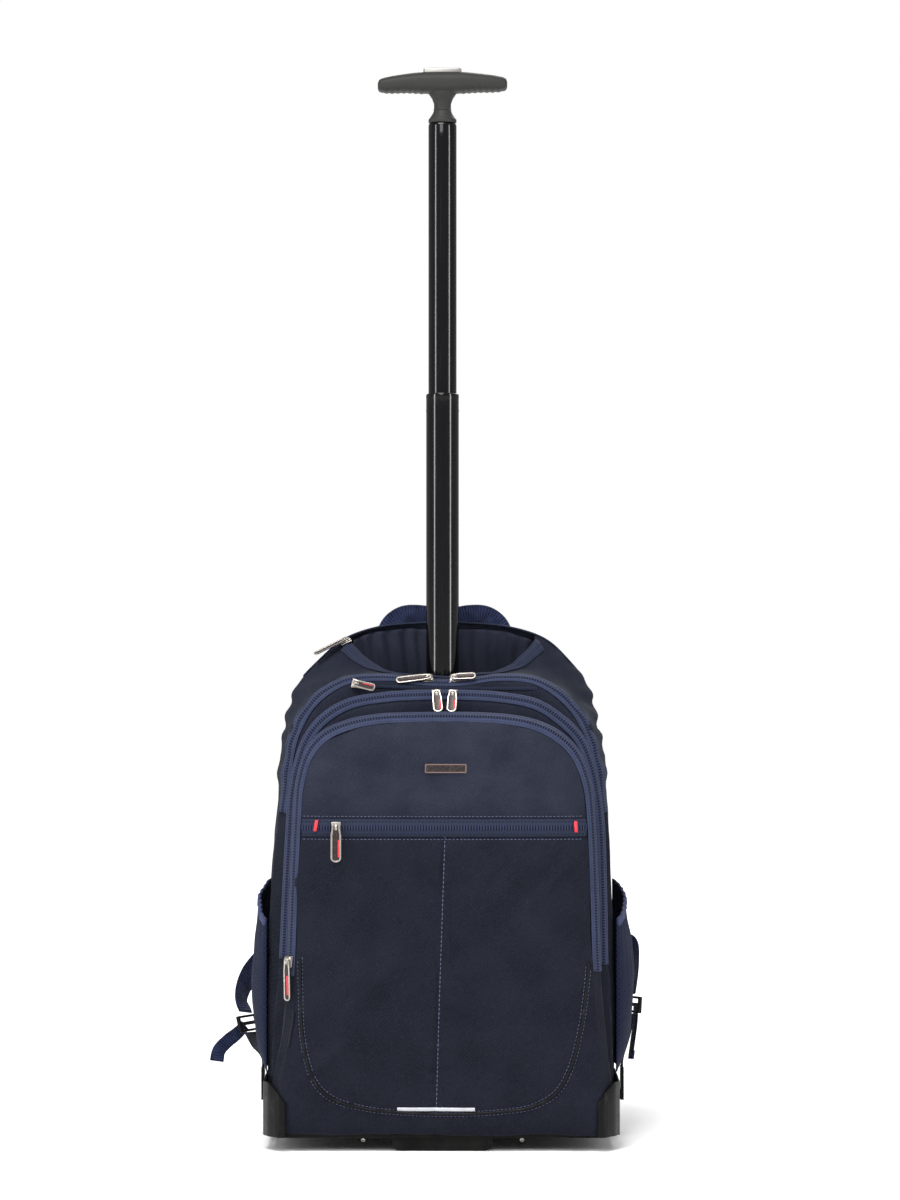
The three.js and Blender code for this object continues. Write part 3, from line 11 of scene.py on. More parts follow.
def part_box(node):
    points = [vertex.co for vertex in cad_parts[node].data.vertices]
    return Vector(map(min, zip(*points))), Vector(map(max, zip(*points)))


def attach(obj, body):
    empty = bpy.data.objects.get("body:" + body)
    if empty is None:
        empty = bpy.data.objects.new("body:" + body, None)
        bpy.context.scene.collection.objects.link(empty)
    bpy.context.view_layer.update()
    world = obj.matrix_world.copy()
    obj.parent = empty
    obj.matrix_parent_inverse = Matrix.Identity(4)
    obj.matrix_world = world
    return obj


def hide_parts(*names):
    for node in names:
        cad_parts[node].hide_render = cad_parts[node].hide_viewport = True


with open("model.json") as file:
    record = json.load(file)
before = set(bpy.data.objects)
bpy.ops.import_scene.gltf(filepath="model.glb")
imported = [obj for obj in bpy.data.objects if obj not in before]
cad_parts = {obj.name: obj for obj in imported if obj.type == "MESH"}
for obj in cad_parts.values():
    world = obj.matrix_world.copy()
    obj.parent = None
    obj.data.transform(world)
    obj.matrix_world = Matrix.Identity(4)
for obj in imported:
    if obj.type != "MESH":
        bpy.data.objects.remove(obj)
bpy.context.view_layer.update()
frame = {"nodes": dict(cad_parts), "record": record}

scene = bpy.context.scene
nodes = frame["nodes"]
mm = 0.001
print("frame loaded:", len(nodes), "nodes")


# Materials

def colour(hexCode):
    channels = [int(hexCode[i:i + 2], 16) / 255 for i in (0, 2, 4)]
    return [c / 12.92 if c <= 0.04045 else ((c + 0.055) / 1.055) ** 2.4 for c in channels] + [1.0]


# Adds a node with its settings and its inputs, by name or in order, and gives one of its outputs
def addNode(tree, kind, settings=None, inputs=(), out=0):
    made = tree.nodes.new("ShaderNode" + kind)
    for key, value in (settings or {}).items():
        setattr(made, key, value)
    for key, value in (inputs.items() if isinstance(inputs, dict) else enumerate(inputs)):
        if isinstance(value, bpy.types.NodeSocket):
            tree.links.new(value, made.inputs[key])
        else:
            made.inputs[key].default_value = value
    return made.outputs[out]


def newMaterial(name, roughness, metallic=0.0, constants=None):
    material = bpy.data.materials.new(name)
    material.use_nodes = True
    tree = material.node_tree
    shader = tree.nodes["Principled BSDF"]
    for key, value in {"Roughness": roughness, "Metallic": metallic, **(constants or {})}.items():
        shader.inputs[key].default_value = value
    return material, tree, addNode(tree, "TexCoord", out="Object")


# Wires a look to its shader: colour, relief with its depth in millimetres, and roughness where it varies
def dress(material, shaded, relief=None, depth=0.0, strength=1.0, roughness=None):
    tree = material.node_tree
    sockets = {"Base Color": shaded, "Roughness": roughness}
    if relief is not None:
        settings = {"Height": relief, "Distance": depth * mm, "Strength": strength}
        sockets["Normal"] = addNode(tree, "Bump", None, settings)
    for key, socket in sockets.items():
        if socket is not None:
            tree.links.new(socket, tree.nodes["Principled BSDF"].inputs[key])
    return material


# Lays tints over a ground colour, one after the other, each by its share and strength
def tinted(tree, ground, tints, blend="MIX"):
    ground = colour(ground) if isinstance(ground, str) else ground
    for share, strength, tint in tints:
        tint = colour(tint) if isinstance(tint, str) else tint
        share = addNode(tree, "Math", {"operation": "MULTIPLY"}, [share, strength])
        ground = addNode(
            tree, "Mix", {"data_type": "RGBA", "blend_type": blend}, {0: share, 6: ground, 7: tint}, 2
        )
    return ground


# Adds up reliefs, each by its share
def summed(tree, parts):
    total = 0.0
    for part, share in parts:
        total = addNode(tree, "Math", {"operation": "MULTIPLY_ADD"}, [part, share, total])
    return total


# 0 to 1 and back every spacing millimetres of a length
def ribs(tree, length, spacing):
    turns = addNode(tree, "Math", {"operation": "MULTIPLY"}, [length, 2 * math.pi / (spacing * mm)])
    wave = addNode(tree, "Math", {"operation": "SINE"}, [turns])
    return addNode(tree, "Math", {"operation": "MULTIPLY_ADD"}, [wave, 0.5, 0.5])


# The same ribs, square to a direction
def slantedRibs(tree, place, direction, spacing):
    run = Vector(direction).normalized()
    return ribs(
        tree, addNode(tree, "VectorMath", {"operation": "DOT_PRODUCT"}, [place, run], "Value"), spacing
    )


# Soft noise of a size in millimetres, with its values between low and high spread from least to most
def patches(tree, place, size, low, high, detail=2.0, least=0.0, most=1.0):
    cloud = addNode(tree, "TexNoise", None, {"Vector": place, "Scale": 1 / (size * mm), "Detail": detail})
    return addNode(tree, "MapRange", None, [cloud, low, high, least, most])


# Distance along a swept piece in metres, and its place across from -1 to 1 with its sign left off
def sweptPlace(tree):
    along = addNode(tree, "Attribute", {"attribute_name": "along"}, out="Fac")
    across = addNode(tree, "Attribute", {"attribute_name": "across"}, out="Fac")
    return along, addNode(tree, "Math", {"operation": "ABSOLUTE"}, [across])


# Polyester twill: matt, with fine diagonal lines. The real lines are 0.7 mm apart and are drawn 2.6 mm apart,
# so that they show as a faint slant. Above the long zip the cloth is painted lighter, as painted top light.
def twillCloth(name, lower, upper):
    constants = {"Sheen Weight": 0.02, "Specular IOR Level": 0.06}
    material, tree, place = newMaterial(name, 0.82, 0.0, constants)
    slant = slantedRibs(tree, place, (1.0, 0.6, -1.0), 2.6)
    threads = slantedRibs(tree, place, (1.0, 0.7, 1.0), 1.3)
    # painted top light: the second colour is laid over the cloth above the height of the long zip
    paintedTopLight = addNode(
        tree, "MapRange", None, [addNode(tree, "SeparateXYZ", None, [place], "Z"), 0.285, 0.33]
    )
    ground = tinted(tree, lower, [(paintedTopLight, 1.0, upper)])
    cloudy = patches(tree, place, 38, 0.3, 0.7)
    ground = tinted(tree, ground, [(cloudy, 0.55, "4A5068")], "SOFT_LIGHT")
    specks = patches(tree, place, 0.9, 0.45, 0.75, 3.0)
    shaded = tinted(tree, ground, [(slant, 0.3, "181A24"), (specks, 0.1, "59607A")])
    fuzz = addNode(tree, "TexNoise", None, {"Vector": place, "Scale": 1 / (0.9 * mm), "Detail": 3.0})
    roughness = addNode(tree, "MapRange", None, [fuzz, 0.2, 0.8, 0.74, 0.92])
    return dress(
        material, shaded, summed(tree, [(slant, 0.5), (threads, 0.3), (fuzz, 0.5)]), 0.25, 0.6, roughness
    )


# Woven polyester zip tape: ribs across it, a row of stitches inside each edge and nylon coils in its middle
def tapeCloth(name, base, sewing, coils=True):
    constants = {"Sheen Weight": 0.02, "Specular IOR Level": 0.08}
    material, tree, place = newMaterial(name, 0.72, 0.0, constants)
    along, across = sweptPlace(tree)
    fromLine = addNode(tree, "Math", {"operation": "SUBTRACT"}, [across, 0.72])
    fromLine = addNode(tree, "Math", {"operation": "ABSOLUTE"}, [fromLine])
    onLine = addNode(tree, "MapRange", None, [fromLine, 0.05, 0.09, 1.0, 0.0])
    dashes = addNode(tree, "MapRange", None, [ribs(tree, along, 3.4), 0.3, 0.4])
    sewn = summed(tree, [(onLine, dashes)])
    cross = ribs(tree, along, 1.7)
    cloudy = patches(tree, place, 14, 0.3, 0.7)
    shaded = tinted(tree, base, [(cloudy, 0.35, "20253A"), (cross, 0.18, "1E2233"), (sewn, 0.8, sewing)])
    reliefs = [(cross, 0.4), (sewn, 1.0)]
    if coils:
        middle = addNode(tree, "MapRange", None, [across, 0.26, 0.32, 1.0, 0.0])
        tooth = addNode(tree, "MapRange", None, [ribs(tree, along, 2.6), 0.25, 0.75])
        shaded = tinted(tree, shaded, [(middle, 1.0, tinted(tree, "0C0E16", [(tooth, 1.0, "2A3048")]))])
        reliefs = [(summed(tree, [(middle, tooth)]), 0.9), (sewn, 1.0)]
    return dress(material, shaded, summed(tree, reliefs), 0.35, 0.8)


# Nylon webbing: ribs across it, brighter where the ribs catch the light
def webbingCloth(name, base, dark):
    constants = {"Sheen Weight": 0.02, "Specular IOR Level": 0.1}
    material, tree, place = newMaterial(name, 0.7, 0.0, constants)
    along, across = sweptPlace(tree)
    rib = ribs(tree, along, 2.4)
    selvedge = addNode(tree, "MapRange", None, [across, 0.8, 0.86])
    cloudy = patches(tree, place, 9, 0.35, 0.7)
    shaded = tinted(tree, dark, [(rib, 1.0, base), (selvedge, 0.5, dark), (cloudy, 0.3, "414A6C")])
    return dress(material, shaded, summed(tree, [(selvedge, 0.6), (rib, 1.0)]), 0.5, 0.9)


# Knitted mesh: light threads round dark diamond holes 3.4 mm apart. The two directions lie in the cloth.
def knittedMesh(name, thread, hole, first, second, cell=3.4):
    constants = {"Sheen Weight": 0.02, "Specular IOR Level": 0.06}
    material, tree, place = newMaterial(name, 0.78, 0.0, constants)
    rising = slantedRibs(tree, place, first, cell)
    falling = slantedRibs(tree, place, second, cell)
    holes = addNode(tree, "MapRange", None, [summed(tree, [(rising, falling)]), 0.3, 0.62])
    cloudy = patches(tree, place, 30, 0.35, 0.7)
    shaded = tinted(tree, thread, [(holes, 1.0, hole), (cloudy, 0.3, "141830")])
    return dress(material, shaded, summed(tree, [(holes, -1.0)]), 0.6, 0.9)


# Calendered PVC vinyl: black with a fine leather grain, a satin shine and paler scuffs on the edges
def vinyl(name, base):
    material, tree, place = newMaterial(name, 0.5, 0.0, {"Specular IOR Level": 0.12})
    pebbles = addNode(tree, "TexVoronoi", None, {"Vector": place, "Scale": 1 / (1.6 * mm)})
    scuffs = patches(tree, place, 7, 0.58, 0.72, 6.0)
    roughness = addNode(tree, "MapRange", None, [scuffs, 0.0, 1.0, 0.42, 0.6])
    return dress(material, tinted(tree, base, [(scuffs, 0.3, "3A3A38")]), pebbles, 0.25, 0.6, roughness)


# Injection-moulded ABS: charcoal with the fine spark texture of its mould
def mouldedPlastic(name, base, roughness=0.55):
    material, tree, place = newMaterial(name, roughness, 0.0, {"Specular IOR Level": 0.1})
    spark = addNode(tree, "TexNoise", None, {"Vector": place, "Scale": 1 / (0.8 * mm), "Detail": 4.0})
    dull = addNode(tree, "MapRange", None, [spark, 0.3, 0.7, roughness - 0.08, roughness + 0.1])
    shaded = tinted(tree, base, [(patches(tree, place, 22, 0.35, 0.7), 0.25, "2C2C2A")])
    return dress(material, shaded, spark, 0.12, 0.5, dull)


# Gloss black lacquer on an aluminium tube: deep black under a clear coat, with faint lines where it slides
def lacquer(name):
    constants = {"Coat Weight": 0.22, "Coat Roughness": 0.04, "Specular IOR Level": 0.22}
    material, tree, place = newMaterial(name, 0.16, 0.0, constants)
    stretched = addNode(tree, "Mapping", None, {"Vector": place, "Scale": (1.0, 1.0, 0.02)})
    shaded = tinted(tree, "08080A", [(patches(tree, stretched, 1.1, 0.6, 0.8, 3.0), 0.5, "1A1A1E")])
    return dress(material, shaded, roughness=patches(tree, stretched, 1.1, 0.3, 0.8, 3.0, 0.1, 0.22))


# Nickel-plated zinc casting: warm grey metal, polished, with small rubbed marks
def nickel(name, base="A8A29B", roughness=0.3):
    material, tree, place = newMaterial(name, roughness, 1.0)
    rubbed = addNode(tree, "TexNoise", None, {"Vector": place, "Scale": 1 / (1.2 * mm), "Detail": 4.0})
    marks = addNode(tree, "MapRange", None, [rubbed, 0.4, 0.75])
    dull = addNode(tree, "MapRange", None, [rubbed, 0.3, 0.75, roughness - 0.06, roughness + 0.16])
    return dress(material, tinted(tree, base, [(marks, 0.45, "6E6862")]), rubbed, 0.04, 0.4, dull)


# Woven tape dyed one colour, for the red tabs and the retroreflective strip
def dyedTape(name, base, dark, roughness, metallic=0.0):
    material, tree, place = newMaterial(name, roughness, metallic)
    weave = slantedRibs(tree, place, (1.0, 0.3, 0.7), 1.3)
    return dress(material, tinted(tree, base, [(weave, 0.45, dark)]), weave, 0.15, 0.6)


# Wheel rubber: black polyurethane, dull and dusty on the tread
def wheelRubber(name):
    material, tree, place = newMaterial(name, 0.8)
    dust = addNode(tree, "TexNoise", None, {"Vector": place, "Scale": 1 / (4 * mm), "Detail": 5.0})
    dusty = addNode(tree, "MapRange", None, [dust, 0.45, 0.75])
    return dress(material, tinted(tree, "161616", [(dusty, 0.4, "4A4843")]), dust, 0.15, 0.5)


looks = {
    # The second colour of each twill is its painted top light, laid over the cloth above the long zip's
    # height
    "twill": twillCloth("polyester_twill", "15171F", "242732"),
    "sideTwill": twillCloth("side_twill", "12141B", "1B1E28"),
    "tape": tapeCloth("zip_tape", "333A51", "1C2132"),
    "longTape": tapeCloth("long_zip_tape", "232838", "12151F"),
    "binding": tapeCloth("pocket_binding", "3A4160", "1E2338", False),
    "darkBinding": tapeCloth("panel_binding", "191D2B", "2C3248", False),
    "webbing": webbingCloth("nylon_webbing", "283050", "0E1122"),
    "darkWebbing": webbingCloth("dark_webbing", "181C2B", "07080F"),
    "mesh": knittedMesh("pocket_mesh", "171D33", "080A14", (0, 1, 1), (0, 1, -1)),
    "padMesh": knittedMesh("spacer_mesh", "20263E", "0A0C18", (1, 0, 1), (1, 0, -1), 4.2),
    "vinyl": vinyl("guard_vinyl", "0A0A0A"),
    "piping": vinyl("piping_vinyl", "0E0F12"),
    "plastic": mouldedPlastic("moulded_abs", "080808"),
    "gripPlastic": mouldedPlastic("grip_abs", "2B2B2A", 0.5),
    "lacquer": lacquer("black_lacquer"),
    "nickel": nickel("nickel_plate"),
    "rose": nickel("rose_plate", "8C7570", 0.34),
    "buttonMetal": nickel("button_plate", "8E8C8A", 0.35),
    "plateFace": nickel("plate_face", "322C2E", 0.42),
    "red": dyedTape("red_tape", "D62C3A", "8E1420", 0.6),
    "reflective": dyedTape("reflective_tape", "BEC0C6", "8E9098", 0.35, 0.25),
    "rubber": wheelRubber("wheel_rubber"),
    "thread": dyedTape("sewing_thread", "59607C", "363C54", 0.7),
}
slotLooks = {
    "navy_twill": "twill", "zip_tape": "tape", "navy_mesh": "mesh", "navy_webbing": "webbing",
    "black_vinyl": "vinyl", "black_plastic": "plastic", "black_lacquer": "lacquer", "nickel": "nickel",
    "red_tape": "red", "reflective": "reflective", "wheel_rubber": "rubber",
}
for row in frame["record"]["subparts"]:
    node = nodes[row["node"]]
    node.data.materials.clear()
    node.data.materials.append(looks[slotLooks[row["material_slot"]]])
print("materials made")


# Mesh helpers: all shapes are made in millimetres, and scaled when their object is made

def curvePoint(points, t, closed=False):
    count = len(points)
    place = t * (count if closed else count - 1)
    i = int(math.floor(place + 1e-9))
    share = place - i
    if not closed and i >= count - 1:
        i, share = count - 2, 1.0
    p1, p2 = points[i % count], points[(i + 1) % count]
    p0 = points[(i - 1) % count] if closed or i > 0 else p1 * 2 - p2
    p3 = points[(i + 2) % count] if closed or i + 2 < count else p2 * 2 - p1
    d0, d1, d2 = [max((b - a).length, 1e-6) ** 0.5 for a, b in ((p0, p1), (p1, p2), (p2, p3))]
    m1 = ((p1 - p0) / d0 - (p2 - p0) / (d0 + d1) + (p2 - p1) / d1) * d1
    m2 = ((p2 - p1) / d1 - (p3 - p1) / (d1 + d2) + (p3 - p2) / d2) * d1
    s2, s3 = share * share, share ** 3
    return p1 * (2 * s3 - 3 * s2 + 1) + m1 * (s3 - 2 * s2 + share) + p2 * (3 * s2 - 2 * s3) + m2 * (s3 - s2)


def evenly(points, count, closed=False):
    dense = [curvePoint(points, i / 600, closed) for i in range(600 if closed else 601)]
    if closed:
        dense.append(dense[0])
    lengths = [0.0]
    for a, b in zip(dense, dense[1:]):
        lengths.append(lengths[-1] + (b - a).length)
    steps = count if closed else count - 1
    out, k = [], 0
    for i in range(count):
        want = lengths[-1] * i / steps
        while k < len(lengths) - 2 and lengths[k + 1] < want:
            k += 1
        gap = max(lengths[k + 1] - lengths[k], 1e-9)
        out.append(dense[k].lerp(dense[k + 1], min(max((want - lengths[k]) / gap, 0), 1)))
    return out


# Extrudes a chain of edges through rows of points. Each row is a list of points; along and across are kept as
# attributes, along in metres and across from -1 to 1.
def extrudeRows(bm, rows, closed=False, caps=False, acrossOf=None):
    along = bm.verts.layers.float.get("along") or bm.verts.layers.float.new("along")
    across = bm.verts.layers.float.get("across") or bm.verts.layers.float.new("across")
    count = len(rows[0])
    if closed:
        chain = bmesh.ops.create_circle(bm, segments=count, radius=1)["verts"]
        chain.sort(key=lambda v: math.atan2(v.co.y, v.co.x))
    else:
        chain = [bm.verts.new((i, 0, 0)) for i in range(count)]
        for a, b in zip(chain, chain[1:]):
            bm.edges.new((a, b))
    shares = acrossOf or [2 * i / max(count - 1, 1) - 1 for i in range(count)]
    travelled = 0.0
    firstEdges = None
    for r, row in enumerate(rows):
        if r:
            travelled += (sum(row, Vector()) / count - sum(rows[r - 1], Vector()) / count).length
            pairs = list(zip(chain, chain[1:] + (chain[:1] if closed else [])))
            edges = [bm.edges.get(p) for p in (pairs if closed else pairs[:count - 1])]
            made = bmesh.ops.extrude_edge_only(bm, edges=edges)["geom"]
            new = {v for v in made if isinstance(v, bmesh.types.BMVert)}
            chain = [next(e.other_vert(v) for e in v.link_edges if e.other_vert(v) in new) for v in chain]
        for vert, point, share in zip(chain, row, shares):
            vert.co = point
            vert[along] = travelled * mm
            vert[across] = share
        if r == 0 and closed:
            firstEdges = [bm.edges.get(p) for p in zip(chain, chain[1:] + chain[:1])]
    if caps:
        lastEdges = [bm.edges.get(p) for p in zip(chain, chain[1:] + chain[:1])]
        bmesh.ops.edgeloop_fill(bm, edges=firstEdges)
        bmesh.ops.edgeloop_fill(bm, edges=lastEdges)
    return chain


def finishPiece(bm, name, look, body="root", replaced=(), smooth=True, outward=True):
    if outward:
        bmesh.ops.recalc_face_normals(bm, faces=bm.faces)
    bmesh.ops.scale(bm, verts=bm.verts, vec=(mm, mm, mm))
    mesh = bpy.data.meshes.new(name)
    bm.to_mesh(mesh)
    bm.free()
    mesh.polygons.foreach_set("use_smooth", [smooth] * len(mesh.polygons))
    piece = bpy.data.objects.new(name, mesh)
    scene.collection.objects.link(piece)
    mesh.materials.append(looks[look])
    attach(piece, body)
    if replaced:
        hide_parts(*replaced)
    return piece


def thicken(piece, thickness, offset=-1.0):
    made = piece.modifiers.new("wall", "SOLIDIFY")
    made.thickness = thickness * mm
    made.offset = offset
    return made


def roundEdges(piece, width, segments=2, angle=40):
    made = piece.modifiers.new("edges", "BEVEL")
    made.width = width * mm
    made.segments = segments
    made.limit_method = "ANGLE"
    made.angle_limit = math.radians(angle)
    made.harden_normals = False
    return made


def treeOf(piece):
    return BVHTree.FromObject(piece, bpy.context.evaluated_depsgraph_get())


def castOn(tree, origin, direction):
    place = tree.ray_cast(Vector(origin) * mm, Vector(direction).normalized())[0]
    return place / mm if place else None


def faceY(tree, x, z):
    place = castOn(tree, (x, -900, z), (0, 1, 0))
    return place.y if place else None


def crumple(x, y, z, size, seed):
    return noise.noise(Vector((x / size + seed, y / size - seed, z / size + 2 * seed)))


# Sweeps: a closed section carried along a line of points, with its face turned to the given directions

def sweepLoop(bm, points, outs, section, widths=None):
    rows = []
    for i, p in enumerate(points):
        run = (points[min(i + 1, len(points) - 1)] - points[max(i - 1, 0)]).normalized()
        out = (outs[i] - run * outs[i].dot(run)).normalized()
        across = run.cross(out)
        scale = widths[i] if widths else 1
        rows.append([p + across * a * scale + out * b for a, b in section])
    far = max(abs(a) for a, b in section)
    extrudeRows(bm, rows, closed=True, caps=True, acrossOf=[a / far for a, b in section])


def flatSection(width, thick, count=24, power=0.35):
    section = []
    for i in range(count):
        c, s = math.cos(2 * math.pi * (i + 0.5) / count), math.sin(2 * math.pi * (i + 0.5) / count)
        section.append(
            (math.copysign(abs(c) ** power, c) * width / 2, math.copysign(abs(s) ** 0.5, s) * thick / 2)
        )
    return section


def roundSection(radius, count=10):
    turn = 2 * math.pi / count
    return [(radius * math.cos(i * turn), radius * math.sin(i * turn)) for i in range(count)]


# Stitches: short rounded threads laid along a line at an even pitch
def stitches(bm, line, outs, length=2.7, pitch=4.2, radius=0.32):
    travelled, due = 0.0, 0.0
    for a, b, out in zip(line, line[1:], outs):
        step = (b - a).length
        while due <= travelled + step:
            middle = a.lerp(b, (due - travelled) / max(step, 1e-6))
            run = (b - a).normalized()
            points = [
                middle + run * length * s + out * h for s,
                h in ((-0.5, -0.35), (-0.3, 0.1), (0, 0.22), (0.3, 0.1), (0.5, -0.35))
            ]
            sweepLoop(bm, points, [out] * 5, roundSection(radius, 6))
            due += pitch
        travelled += step


def facePoints(tree, flat, lift):
    return [Vector((x, faceY(tree, x, z) - lift, z)) for x, z in flat]


front = Vector((0, -1, 0))


# Named sizes of the bag, in millimetres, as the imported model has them
bag = {
    "half": 165.0, "floor": 20.0, "hem": 13.5, "height": 470.0, "pocketHeight": 393.0, "middleHeight": 407.0,
    "pocketFront": -30.0, "mainBack": 165.0, "mouthFront": 95.0, "mouthHalf": 89.0, "mouthBack": 159.0,
    "pole": 125.0,
}
half = bag["half"]
pole = bag["pole"]

# Outlines from the front: share of the layer's height, and shares of the half width on the left and right
outlines = {
    "pocket": [
        (0, 0.885, 0.885), (0.02, 0.94, 0.93), (0.09, 0.962, 0.95), (0.18, 0.935, 0.93), (0.284, 0.895, 0.91),
        (0.42, 0.872, 0.888), (0.576, 0.858, 0.876), (0.747, 0.838, 0.858), (0.843, 0.82, 0.832),
        (0.915, 0.765, 0.76), (0.958, 0.67, 0.65), (0.983, 0.53, 0.52), (0.996, 0.364, 0.35), (1, 0.15, 0.15),
    ],
    "middle": [
        (0, 0.91, 0.91), (0.017, 0.955, 0.95), (0.098, 0.972, 0.968), (0.258, 0.95, 0.955),
        (0.366, 0.928, 0.94), (0.54, 0.908, 0.932), (0.688, 0.888, 0.92), (0.764, 0.876, 0.9),
        (0.835, 0.842, 0.862), (0.897, 0.785, 0.796), (0.941, 0.7, 0.69), (0.978, 0.552, 0.545),
        (0.995, 0.333, 0.33), (1, 0.121, 0.121),
    ],
    "mainFront": [
        (0, 0.945, 0.945), (0.015, 0.988, 0.98), (0.085, 1, 0.985), (0.223, 1, 0.985), (0.317, 0.994, 0.98),
        (0.468, 0.978, 0.968), (0.596, 0.944, 0.95), (0.681, 0.915, 0.922), (0.745, 0.89, 0.888),
        (0.794, 0.848, 0.842), (0.847, 0.752, 0.73), (0.89, 0.57, 0.55), (0.897, 0.333, 0.333),
        (0.887, 0.11, 0.11),
    ],
    "mainRear": [
        (0, 0.945, 0.945), (0.015, 0.988, 0.98), (0.085, 1, 0.985), (0.223, 1, 0.985), (0.317, 1, 0.985),
        (0.481, 1, 0.975), (0.634, 0.962, 0.966), (0.734, 0.942, 0.935), (0.809, 0.902, 0.894),
        (0.874, 0.838, 0.836), (0.921, 0.72, 0.735), (0.964, 0.575, 0.6), (0.989, 0.376, 0.39),
        (0.998, 0.121, 0.121),
    ],
}


def outlineRing(key, floor, height, count, even=True):
    right = [Vector((r * half, 0, floor + h * height)) for h, l, r in outlines[key]]
    left = [Vector((-l * half, 0, floor + h * height)) for h, l, r in reversed(outlines[key])]
    ring = right + left
    return evenly(ring, count, True) if even else [curvePoint(ring, i / count, True) for i in range(count)]


# Moves a point of an outline towards the middle of the layer
def insetPoint(point, inset, floor, height):
    middle = floor + height / 2
    reach = inset * min(1, 0.2 + inset / 60) if point.z < middle else inset
    z = middle + (max(point.z, floor) - middle) * (1 - reach / (height / 2))
    return Vector((point.x * (1 - inset / half), point.y, z))


pocketRing = outlineRing("pocket", bag["hem"], bag["pocketHeight"], 380)
middleRing = outlineRing("middle", bag["floor"], bag["middleHeight"], 260)
mainFrontRing = outlineRing("mainFront", bag["floor"], bag["height"], 308, False)
mainRearRing = outlineRing("mainRear", bag["floor"], bag["height"], 308, False)
shoulderFolds = [(0.7, 0.022, 1), (0.76, 0.02, -0.8), (0.81, 0.02, 1), (0.86, 0.018, -0.7)]


def pocketPoint(base, y, inset):
    p = insetPoint(base, inset, bag["hem"], bag["pocketHeight"])
    if y > bag["pocketFront"] + 9:
        p.z = max(p.z, bag["floor"])
    p.y = y
    return p


def middlePoint(base, y, inset):
    p = insetPoint(base, inset, bag["floor"], bag["middleHeight"])
    p.y = y
    return p


def mainPoint(i, y, inset):
    back = min(max((y - bag["mouthFront"] - 5) / (bag["mainBack"] - bag["mouthFront"] - 15), 0), 1) ** 1.6
    p = mainFrontRing[i].lerp(mainRearRing[i], back)
    share = (p.z - bag["floor"]) / bag["height"]
    fold = sum(rise * 2.6 * math.exp(-(((share - z) / breadth) ** 2)) for z, breadth, rise in shoulderFolds)
    onSide = 1 - min(max(inset / 7.4, 0), 1)
    p.x += math.copysign(fold * onSide, p.x)
    p = insetPoint(p, inset, bag["floor"], bag["height"])
    p.y = y
    return p


# A layer of cloth: rings from its open back to the middle of its face, each at a depth and an inset
def layerOfCloth(name, points, stations, pointAt, relief, look, replaced):
    bm = bmesh.new()
    extrudeRows(bm, [[pointAt(p, y, inset) for p in points] for y, inset in stations], closed=True)
    outer = [
        e for e in bm.edges if e.is_boundary and all(abs(v.co.y - stations[-1][0]) < 1e-4 for v in e.verts)
    ]
    bmesh.ops.edgeloop_fill(bm, edges=outer)
    bmesh.ops.recalc_face_normals(bm, faces=bm.faces)
    bm.normal_update()
    foremost = min(bm.verts, key=lambda v: v.co.y)
    if foremost.normal.y > 0:
        bmesh.ops.reverse_faces(bm, faces=bm.faces)
        bm.normal_update()
    moves = [(v, v.normal.copy() * relief(v.co)) for v in bm.verts]
    for v, move in moves:
        v.co += move
    return finishPiece(bm, name, look, "root", replaced, True, False)


def bell(distance, breadth):
    return math.exp(-((distance / breadth) ** 2))


# Front pocket

frontPanel = {
    "zipZ": 300.6, "zipBand": 15.7, "zipFrom": -130.4, "zipTo": 133.6,
    "seam": [Vector((1.0, 0, 292)), Vector((-4.2, 0, 140)), Vector((-7.0, 0, 40))],
    "folds": [  # x and z in shares, slope in degrees, length, breadth, rise in millimetres
        (
            -0.62, 0.18, 52, 0.45, 0.1, 2.4
        ), (-0.7, 0.33, 60, 0.4, 0.1, -2.0), (0.66, 0.3, 118, 0.4, 0.12, 1.8),
        (0.1, 0.12, 4, 0.6, 0.1, -1.6), (-0.38, 0.24, 40, 0.35, 0.07, -1.3),
        (0.45, 0.5, 108, 0.3, 0.08, -1.2), (0.35, 0.68, 20, 0.5, 0.08, 1.2),
        (-0.3, 0.7, -14, 0.5, 0.07, -1.0), (0.42, 0.5, 48, 0.24, 0.035, 1.7),
        (0.54, 0.49, 50, 0.26, 0.035, -1.6), (0.65, 0.5, 46, 0.24, 0.03, 1.5),
        (0.3, 0.5, 52, 0.2, 0.03, -1.1), (-0.68, 0.13, 40, 0.24, 0.03, 1.5),
        (-0.6, 0.24, 44, 0.24, 0.035, -1.4),
    ],
    "piping": [  # shares of the half width and of the bag's height
        (-0.8, 0.335), (-0.797, 0.27), (-0.79, 0.2), (-0.762, 0.14), (-0.705, 0.09), (-0.61, 0.062),
        (-0.45, 0.045), (-0.25, 0.0365), (0, 0.033), (0.3, 0.037), (0.51, 0.048), (0.64, 0.075),
        (0.72, 0.125), (0.775, 0.2), (0.805, 0.27), (0.822, 0.33),
    ],
}
pipingLine = evenly(
    [Vector((x * half, 0, bag["floor"] + z * bag["height"])) for x, z in frontPanel["piping"]], 140
)
pipingFlat = np.array([(p.x, p.z) for p in pipingLine])


